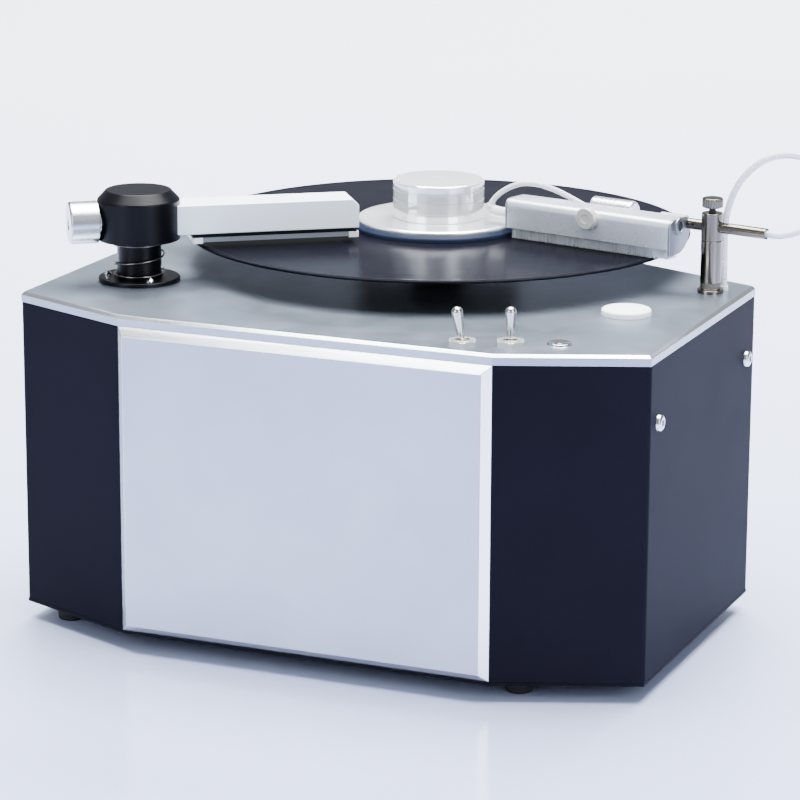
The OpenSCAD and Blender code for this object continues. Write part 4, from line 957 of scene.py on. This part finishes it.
def screw_head(spot, r, h):
    """A domed screw head with a round recess: the dome's height falls as the square of the radius."""
    recess = 1.0
    rr = np.linspace(recess + 0.25, r, 7)
    dome = np.stack([rr, h * (1 - 0.75 * (rr / r) ** 2)], 1)
    run = np.concatenate([[[0, h * 0.4], [recess, h * 0.4], [recess, h * 0.93]], dome, [[r, 0], [0, 0]]])
    return turned_shell(spot, run, 32)


def coil_run(r, wire, rise, pitch):
    """A compression spring's centre line, (r cos 2 pi t, r sin 2 pi t, z): z climbs a wire and a little over
    the first turn, then by the pitch each turn, and over the last half turn to the rise. A running mean of
    seven points rounds the joints between the three."""
    closed = wire + 0.6
    opened = (rise - 1.5 * closed) / pitch
    t = np.linspace(0, 1.5 + opened, 120)
    z = np.interp(t, [0, 1, 1 + opened, 1.5 + opened], [0, closed, closed + pitch * opened, rise])
    z = np.convolve(np.pad(z, 3, mode="edge"), np.ones(7) / 7, "valid")
    return np.stack([r * np.cos(2 * np.pi * t), r * np.sin(2 * np.pi * t), wire / 2 + z], 1)


class CLEANER_OT_column(CleanerOperator):
    """Dresses the suction column: flange, screws, bush, spring, spring seat and tube"""
    bl_idname = "cleaner.column"
    bl_label = "Suction column"

    def make(self, sizes):
        column, column_in, flange, flange_in = 12.9, 9, 23.75, 13.1
        run = [[flange_in, 0], [flange, 0], [flange, FLANGE_TOP], [flange_in, FLANGE_TOP]]
        shell = lathe(ARM, run, [0, 0.3, 1.1, 0.3, 0], 6, 128, hollow=True)
        show("Column_flange", shell, "black")
        heads = [screw_head(ARM.turned(a + 40).moved(18.9, 0, FLANGE_TOP), 2.5, 2.2) for a in (0, 120, 240)]
        show("Flange_screws", joined(*heads), "screw")
        paint("column_bush", "bronze")
        wire = sizes.wire / MM
        coil = coil_run(14.4, wire, SEAT_LOW - FLANGE_TOP - wire, 11.0)
        shell = swept_shell(ARM.moved(z=FLANGE_TOP), coil, wire / 2, 14, (0, 0, 1))
        show("Column_spring", shell, "spring",
             bends=("case", "carriage", ARM.at(0, 0, FLANGE_TOP), ARM.at(0, 0, SEAT_LOW)))
        run = [[13.2, SEAT_LOW], [16.4, SEAT_LOW], [16.4, HUB_LOW], [13.2, HUB_LOW]]
        show("Spring_seat", lathe(ARM, run, 0.3, 4, 96, hollow=True), "black")
        run = [[column_in, -46], [column, -46], [column, HUB_LOW], [column_in, HUB_LOW]]
        show("Suction_column", lathe(ARM, run, 0.3, 4, 96, hollow=True), "black")


class CLEANER_OT_arm(CleanerOperator):
    """Dresses the suction arm: hub, square tube, gasket, nozzle and counterweight"""
    bl_idname = "cleaner.arm"
    bl_label = "Suction arm"

    def make(self, sizes):
        run = [[0, 42.9], [9, 42.9], [9, HUB_LOW], [24, HUB_LOW], [24, 48], [18.75, 53.6], [0, 53.6]]
        show("Arm_hub", lathe(ARM, run, [0, 0.2, 0.3, 0.7, 0.8, 0.6, 0], 6, 160), "black")
        dressed("Suction_tube", "arm", bevel=0.5)
        # the gasket's near-black also paints the shadowed gap line under the tube
        dressed("Nozzle_gasket", "gasket")
        dressed("Nozzle_bar", "nozzle", bevel=0.3)
        dressed("Nozzle_ends", "nozzle_end", bevel=0.5)
        back = ARM.moved(z=HUB_LOW + 10.7).facing((-1, 0, 0), (0, 0, 1))
        barrel = eased([[12.3, 24.3], [12.3, 40.2], [11.4, 41], [4.5, 41], [4.2, 40.4], [0, 40.4]],
                       [0, 0.5, 0.5, 0.2, 0.2, 0], 5)
        run = np.concatenate([[[0, 16], [8, 16], [8, 24], [12, 24], [12.3, 24.3]], barrel[1:]])
        show("Counterweight", turned_shell(back, run, 128), "weight")


def record_run(bead):
    """The record's closed section as (r, z): out along the under side, whose rim mirrors the upper one, then
    a rim bead, a lead-in step, six bands a hair lower between track gaps, the dead wax and the label's place."""
    rim = np.array([[150.5, 18.1], [150.38, 18.55], [149.9, 18.86], [148.9, RECORD_TOP], [147.6, RECORD_TOP],
                    [146.4, RECORD_TOP - bead * 0.6]])
    r = np.linspace(145.8, 61, 110)
    bands = RECORD_TOP - bead * (0.62 + 0.12 * (np.mod(r - 61, 14.2) > 0.9))
    low = 18.96 - bead * 0.8
    wax = np.array([[60.4, low], [53.4, low], [52.2, RECORD_TOP], [HOLE_R, RECORD_TOP]])
    under = np.concatenate([
        [[HOLE_R, RECORD_LOW], [145, RECORD_LOW], [146.4, 17.35]],
        rim[4::-1] * [1, -1] + [0, RECORD_LOW + RECORD_TOP]])
    return looped(np.concatenate([under, rim, np.stack([r, bands], 1), wax]))


class CLEANER_OT_record(CleanerOperator):
    """Dresses the platter, record, seal ring, disc and clamp puck"""
    bl_idname = "cleaner.record"
    bl_label = "Record and clamp"

    def make(self, sizes):
        paint("bearing_housing", "bronze")
        paint("platter_pulley", "pulley")
        run = [[0, -74], [5, -74], [5, RECORD_LOW], [3.57, RECORD_LOW], [3.57, 37.2], [2.6, 39.3], [0, 40]]
        show("Spindle", lathe(SPINDLE, run, [0, 0.3, 0.3, 0.2, 0.6, 0.8, 0], 5, 64), "bright")
        run = [[5.05, 0.6], [16, 0.6], [16, 9.7], [49, 9.7], [49, RECORD_LOW], [5.05, RECORD_LOW]]
        shell = lathe(SPINDLE, run, [0, 0.4, 0.6, 0.8, 0.6, 0.2, 0], 5, 160, hollow=True)
        show("Platter", shell, "platter")
        show("Record", turned_shell(SPINDLE, record_run(sizes.bead / MM), 256), "vinyl", angle=20)
        run = [[HOLE_R, RECORD_TOP], [51, RECORD_TOP], [51, 21.2], [49, SEAL_TOP], [HOLE_R, SEAL_TOP]]
        shell = lathe(SPINDLE, run, [0, 0.3, 0.7, 0.5, 0, 0], 5, 192, hollow=True)
        show("Seal_ring", shell, "seal")
        run = [[HOLE_R, SEAL_TOP], [48.5, SEAL_TOP], [48.5, 24.4], [47.5, DISC_TOP], [HOLE_R, DISC_TOP]]
        shell = lathe(SPINDLE, run, [0, 0.2, 0.3, 0.4, 0, 0], 5, 192, hollow=True)
        show("Label_disc", shell, "turned")
        top = eased([[27.25, 20.1], [27.25, 21.7], [26.35, 22.55], [4.0, 23.1], [3.4, 22.9], [0, 22.9]],
                    [0, 0.5, 0.5, 0.3, 0.3, 0], 5)
        run = np.concatenate([
            [[0, 13], [3.7, 13], [3.7, 0], [26.75, 0], [27.25, 0.5]],
            grooves(27.25, 0.55, [5.825, 11.65, 17.475], 0.4), top])
        shell = turned_shell(SPINDLE.moved(z=DISC_TOP + PUCK_AIR), run, 192)
        show("Clamp_puck", shell, "puck", angle=40)


class CLEANER_OT_inside(CleanerOperator):
    """Finishes the drive, the pumps, the tanks and the board inside the case"""
    bl_idname = "cleaner.inside"
    bl_label = "Inside"

    def make(self, sizes):
        for node, name in (("drive_belt", "belt"), ("drive_motor", "motor"), ("motor_pulley", "pulley"),
                           ("vacuum_pump", "pump"), ("suction_duct", "black"), ("waste_tank", "tank"),
                           ("fluid_tank", "tank"), ("fluid_pump", "pump"), ("control_board", "board")):
            paint(node, name)


# The switches and the lamp stand in a row behind the plate's slanted edge
ROW_IN, LEFT_AT, RIGHT_AT, LAMP_AT = 25.5, -16, 10, 36.5
LEVER_LEAN = math.radians(9)


def baton(spot):
    """A switch lever's profile turned round: a ball at its foot, then a cone from a thin waist that widens
    upwards into a half sphere."""
    run = np.concatenate([
        arc(0, 0, 3.25, -90, 50, 9), [[1.9, 3.2], [1.9, 3.4]], arc(0, 18.45, 3.15, 0, 90, 9)])
    run[0, 0] = run[-1, 0] = 0
    return turned_shell(spot, run, 40)


def hex_nut(a, r, z):
    """A nut's flats: outside 7.5 the radius is the smaller of its own and a hexagon's."""
    return np.where(r > 7.5, np.minimum(hexagon(a, 7.3), r), r)


class CLEANER_OT_switches(CleanerOperator):
    """Dresses the switches, the lamp, the filler cap and the rear connections"""
    bl_idname = "cleaner.switches"
    bl_label = "Switches and filler"

    def make(self, sizes):
        bush_low = PLATE_Z - 11 * MM
        dressed("Toggle_bodies", ["switch", "bush"], bevel=0.3,
                pick=lambda c, n: c[:, 2] > bush_low)
        run = looped([[6.05, 0], [8.4, 0], [8.4, 0.4], [8.4, 0.9], [8.4, 1.45], [8.05, 1.75], [7.6, 1.97],
                      [7, 2.0], [6.05, 2.0]])
        nuts = [turned_shell(CORNER.moved(s, ROW_IN), run, 96, hex_nut) for s in (LEFT_AT, RIGHT_AT)]
        show("Toggle_nuts", joined(*nuts), "nut", angle=25)
        for name, s, a in (("Left_lever", LEFT_AT, LEVER_LEAN), ("Right_lever", RIGHT_AT, 0.0)):
            sin, cos = math.sin(a), math.cos(a)
            spot = CORNER.moved(s, ROW_IN, -1).facing((-sin, 0, cos), (cos, 0, sin))
            show(name, baton(spot), "nickel")
        lamp = CORNER.moved(LAMP_AT, ROW_IN)
        run = [[2.55, -19], [4, -12], [4, 0], [7.25, 0], [6.6, 1], [6.1, 1], [2.55, 0.45]]
        bezel = eased(looped(run), [0, 0.2, 0.2, 0.2, 0.25, 0.15, 0.2, 0], 5)
        bezel[0] = bezel[-1] = [2.55, -12]
        show("Lamp_bezel", turned_shell(lamp, bezel, 96), "bright")
        run = np.concatenate([[[0, -9], [2.5, -9], [2.5, 0]], arc(0, 0, 2.5, 5, 90, 10) * [1, 0.45]])
        run[-1, 0] = 0
        show("Lamp_lens", turned_shell(lamp, run, 48), "lens")
        run = [[0, -4], [9.95, -4], [9.95, 0], [14, 0], [14, 2.7], [13.2, 3.5], [0, 3.5]]
        show("Filler_cap", lathe(FILLER, run, [0, 0.3, 0.1, 0.3, 0.5, 0.6, 0], 6, 128), "cap")
        dressed("Power_socket", "switch", bevel=0.3)
        dressed("Drain_fitting", "bush", bevel=0.3)


def knurled(count, climb, depth, low, high):
    """A diamond knurl between two heights: the radius drops by depth times one less the product of two
    crossed sine waves."""
    def at(a, r, z):
        wave = np.abs(np.sin(count * a / 2 + climb * z)) * np.abs(np.sin(count * a / 2 - climb * z))
        inside = (z > low) & (z < high) & (r > 1)
        return r - np.where(inside, depth * (1 - wave), 0)
    return at


def fluted(depth):
    """The thumb screw's flutes: on its side the radius drops by depth times (1/2 - cos 24a / 2) squared."""
    def at(a, r, z):
        return np.where((r > 4.6) & (z > 0.5) & (z < 5.4), r - depth * (0.5 - 0.5 * np.cos(24 * a)) ** 2, r)
    return at


def upright(r, low, high, count):
    """A straight run of points at one radius."""
    return np.stack([np.full(count, r), np.linspace(low, high, count)], 1)


class CLEANER_OT_post(CleanerOperator):
    """Dresses the brush post, its swivel block, thumb screw, rod and hose fitting"""
    bl_idname = "cleaner.post"
    bl_label = "Brush post and rod"

    def make(self, sizes):
        depth = sizes.knurl / MM
        run = np.concatenate([
            [[0, -11], [7, -11], [7, -6], [4, -6], [4, 0], [7.6, 0]],
            eased([[7.6, 0], [7.6, 2], [5.9, 2.2]], 0.5, 5)[1:],
            upright(5.95, 2.6, 5.9, 14), [[POST_R, 6.2]],
            eased([[POST_R, 6.2], [POST_R, 30.5], [3, 30.5], [3, 34], [0, 34]], [0, 0.35, 0.1, 0.3, 0], 5)[1:]])
        post = turned_shell(POST, run, 180, knurled(48, 1.9, depth, 2.5, 6.0))
        show("Brush_post", post, "post", angle=50)
        run = [[3.05, 30.7], [POST_R, 30.7], [POST_R, BLOCK_TOP], [2.05, BLOCK_TOP]]
        show("Swivel_block", lathe(POST, run, [0, 0.4, 0.6, 0.2, 0], 6, 128, hollow=True), "post")
        run = [[0, -4], [2, -4], [2, 3.2], [0, 3.2]]
        # painted shade: the neck under the screw head takes the near-black recess finish
        neck = lathe(POST.moved(z=BLOCK_TOP), run, [0, 0.2, 0, 0], 4, 32, finish=1)
        run = np.concatenate([
            [[0, 0], [5.2, 0], [5.9, 0.45]], upright(6.0, 0.9, 5.0, 5),
            eased([[6.0, 5.0], [5.6, 5.6], [4.2, 5.9], [0, 5.9]], [0, 0.3, 0.4, 0], 4)[1:]])
        head = turned_shell(POST.moved(z=BLOCK_TOP + 3), run, 192, fluted(depth))
        show("Swivel_screw", joined(head, neck), ["post", "dark"], angle=50)
        # the rod's bore is flared at its mouth, where the hose goes in
        run = [[2.85, -35.6], [3.2, -35.6], [3.2, -33.2], [3.05, -33.1], [3.05, -32.7], [3.2, -32.6],
               [3.2, 31.5], [0, 31.5], [0, 29.5], [2.2, 29.5], [2.2, -32.0]]
        rod = lathe(HEAD.facing((1, 0, 0), (0, 0, 1)), run, [0, 0.1, 0.05, 0, 0, 0.05, 0.2, 0, 0, 0, 0, 0], 4, 64,
                    hollow=True)
        show("Brush_rod", rod, "post")
        run = [[0, -14], [2.6, -14], [2.6, 2.4], [1.9, 2.4], [2.15, 3.2], [1.75, 4.2], [2.1, 4.5],
               [1.7, 6], [0, 6]]
        barb = lathe(POST.moved(5.1, 9), run, [0, 0.2, 0.2, 0.1, 0.1, 0.1, 0.1, 0.2, 0], 4, 48)
        show("Hose_fitting", barb, "cap")


def head_section(drop):
    """The brush head's section as (forwards, up) from the rod: a straight front, a rounded nose and brow, and
    a back that is an arc of 14.3, which ends the drop below the housing's lower face."""
    low = math.degrees(math.asin((10.5 + drop) / 14.3))
    run = np.concatenate([
        [[0, -drop]], arc(4.5, 12.4, 4.5, 180, 90, 9), arc(17.3, 11.4, 5.5, 90, 0, 9),
        arc(8.5, 10.5, 14.3, 0, -low, 14)])
    return np.stack([HEAD_FRONT - run[:, 0], run[:, 1] - 12.5], 1)


class CLEANER_OT_brush(CleanerOperator):
    """Dresses the brush: housing, end plates, bristles, knob, dosing cylinder and elbow"""
    bl_idname = "cleaner.brush"
    bl_label = "Brush"

    def make(self, sizes):
        along = HEAD.facing((1, 0, 0), (0, 1, 0))
        plate_t, near = 1.5, 15.5
        slot = np.array([[6.5, -12.5], [6.5, -9.5], [18.5, -9.5], [18.5, -12.5]])
        body = np.concatenate([head_section(0), slot])
        housing = prism(along, body, near + plate_t, HEAD_END - plate_t, 0.25)
        boss = lathe(along, [[3.3, 17], [4.6, 17], [4.6, 33.5], [0, 33.5]], [0, 0.2, 0.3, 0], 4, 48)
        show("Brush_housing", joined(housing, boss), "head", angle=24)
        ends = ((3.6, near), (0, HEAD_END - plate_t))
        plates = [prism(along, head_section(drop), a, a + plate_t) for drop, a in ends]
        plug = along.moved(x=10.3)
        ring = lathe(plug, [[0, 15.2], [2.9, 15.2], [2.9, 14.5], [5.3, 14.5], [5.3, 15.6], [0, 15.6]],
                     [0, 0.1, 0.3, 0.35, 0.1, 0], 5, 64)
        # painted shade: a near-black disc inside the plug's ring stands in for the hollow's shade
        recess = turned_shell(plug, [[0, 15.12], [2.95, 15.12], [2.95, 15.3], [0, 15.3]], 48, finish=1)
        show("End_plates", joined(*plates, ring, recess), ["end", "dark"], angle=24)
        self.bristles(sizes)
        run = np.concatenate([
            [[0, -7.5], [1.5, -7.5], [1.5, 0.35], [6.0, 0.35]],
            eased([[6.0, 0.35], [6.5, 0.8], [6.5, 4.0], [5.9, 4.5], [2.6, 4.5], [2.45, 4.35], [0, 4.35]],
                  0.15, 4)[1:]])
        knob = turned_shell(HEAD.moved(KNOB_AT, HEAD_FRONT).facing((0, 1, 0), (0, 0, 1)), run, 96)
        show("Brush_knob", knob, "knob", angle=40)
        dose = HEAD.moved(HEAD_END - 43.4 - DOSE_L, -8.6).facing((1, 0, 0), (0, 0, 1))
        run = np.concatenate([
            [[0, 0]], eased([[5.2, 0], [6.5, 1.2], [6.5, 4]], 0.8, 5),
            grooves(6.5, 0.45, DOSE_L * 0.42 + 0.5 + 3 * np.arange(4), 0.5),
            eased([[6.5, 26], [6.5, DOSE_L], [2.2, DOSE_L], [2.2, 27.4], [0, 27.4]], [0, 0.7, 0.2, 0.1, 0], 5)])
        show("Dosing_cylinder", turned_shell(dose, run, 96), "dose", angle=40)
        path = smooth_run([(0, 0, 0), (5, 0, 0), (11, 0, 0), (14.2, 0, 0.9), (15.4, 0, 2.8), (15.5, 0, 4.4)], 6)
        radius = np.interp(
            run_length(path), [0, 2.2, 2.4, 12, 17.4, 17.6, 19.2], [3.5, 3.5, 3.1, 3.1, 2.9, 2.5, 2.5])
        elbow = swept_shell(HEAD.moved(HEAD_END, 12.3, -5.9), path, radius, 28)
        show("Dosing_elbow", elbow, "hose", angle=40)

    def bristles(self, sizes):
        """A strip, and bristles that stand on it in rows and columns, each moved and bent at random."""
        rng = np.random.default_rng(7)
        x = np.linspace(18.6, HEAD_END - 3.1, sizes.columns)
        y = np.linspace(7.6, 17.6, sizes.rows)
        grid = np.stack(np.meshgrid(x, y, indexing="ij"), -1).reshape(-1, 2)
        grid += rng.uniform(-0.22, 0.22, grid.shape)
        n = len(grid)
        feet = np.column_stack([grid, np.full(n, -10.4)])
        tips = np.column_stack([grid + rng.normal(0, 0.16, grid.shape), -19.2 + rng.uniform(0, 0.25, n)])
        bend = np.column_stack([rng.normal(0, 0.18, n), rng.normal(0, 0.16, n), np.zeros(n)])
        x0, x1, y0, y1 = 17.3, HEAD_END - 1.8, 6.8, 18.2
        strip = prism(HEAD, [[x0, y0], [x1, y0], [x1, y1], [x0, y1]], -12.3, -9.6, 0.2)
        shell = joined(strip, strands(HEAD, feet, tips, sizes.bristle / MM, bend))
        show("Bristles", shell, "nylon", weld=False)


STEPS = (
    CLEANER_OT_stage, CLEANER_OT_hoses, CLEANER_OT_case, CLEANER_OT_column, CLEANER_OT_arm, CLEANER_OT_record,
    CLEANER_OT_inside, CLEANER_OT_switches, CLEANER_OT_post, CLEANER_OT_brush)


class CLEANER_PT_steps(bpy.types.Panel):
    """Lists the steps that dress the machine"""
    bl_idname = "CLEANER_PT_steps"
    bl_label = "Record cleaning machine"
    bl_space_type = "VIEW_3D"
    bl_region_type = "UI"
    bl_category = "Cleaner"

    def draw(self, context):
        for step in STEPS:
            self.layout.operator(step.bl_idname)
        for group in (context.scene.cleaner_sizes, context.scene.cleaner_colours):
            for key in group.__annotations__:
                self.layout.prop(group, key)


CLASSES = (CleanerSizes, CleanerColours, *STEPS, CLEANER_PT_steps)


def register():
    for cls in CLASSES:
        bpy.utils.register_class(cls)
    bpy.types.Scene.cleaner_sizes = PointerProperty(type=CleanerSizes)
    bpy.types.Scene.cleaner_colours = PointerProperty(type=CleanerColours)


def unregister():
    del bpy.types.Scene.cleaner_colours
    del bpy.types.Scene.cleaner_sizes
    for cls in reversed(CLASSES):
        bpy.utils.unregister_class(cls)


def main():
    register()
    for step in STEPS:
        group, name = step.bl_idname.split(".")
        getattr(getattr(bpy.ops, group), name)()


if __name__ == "__main__":
    main()
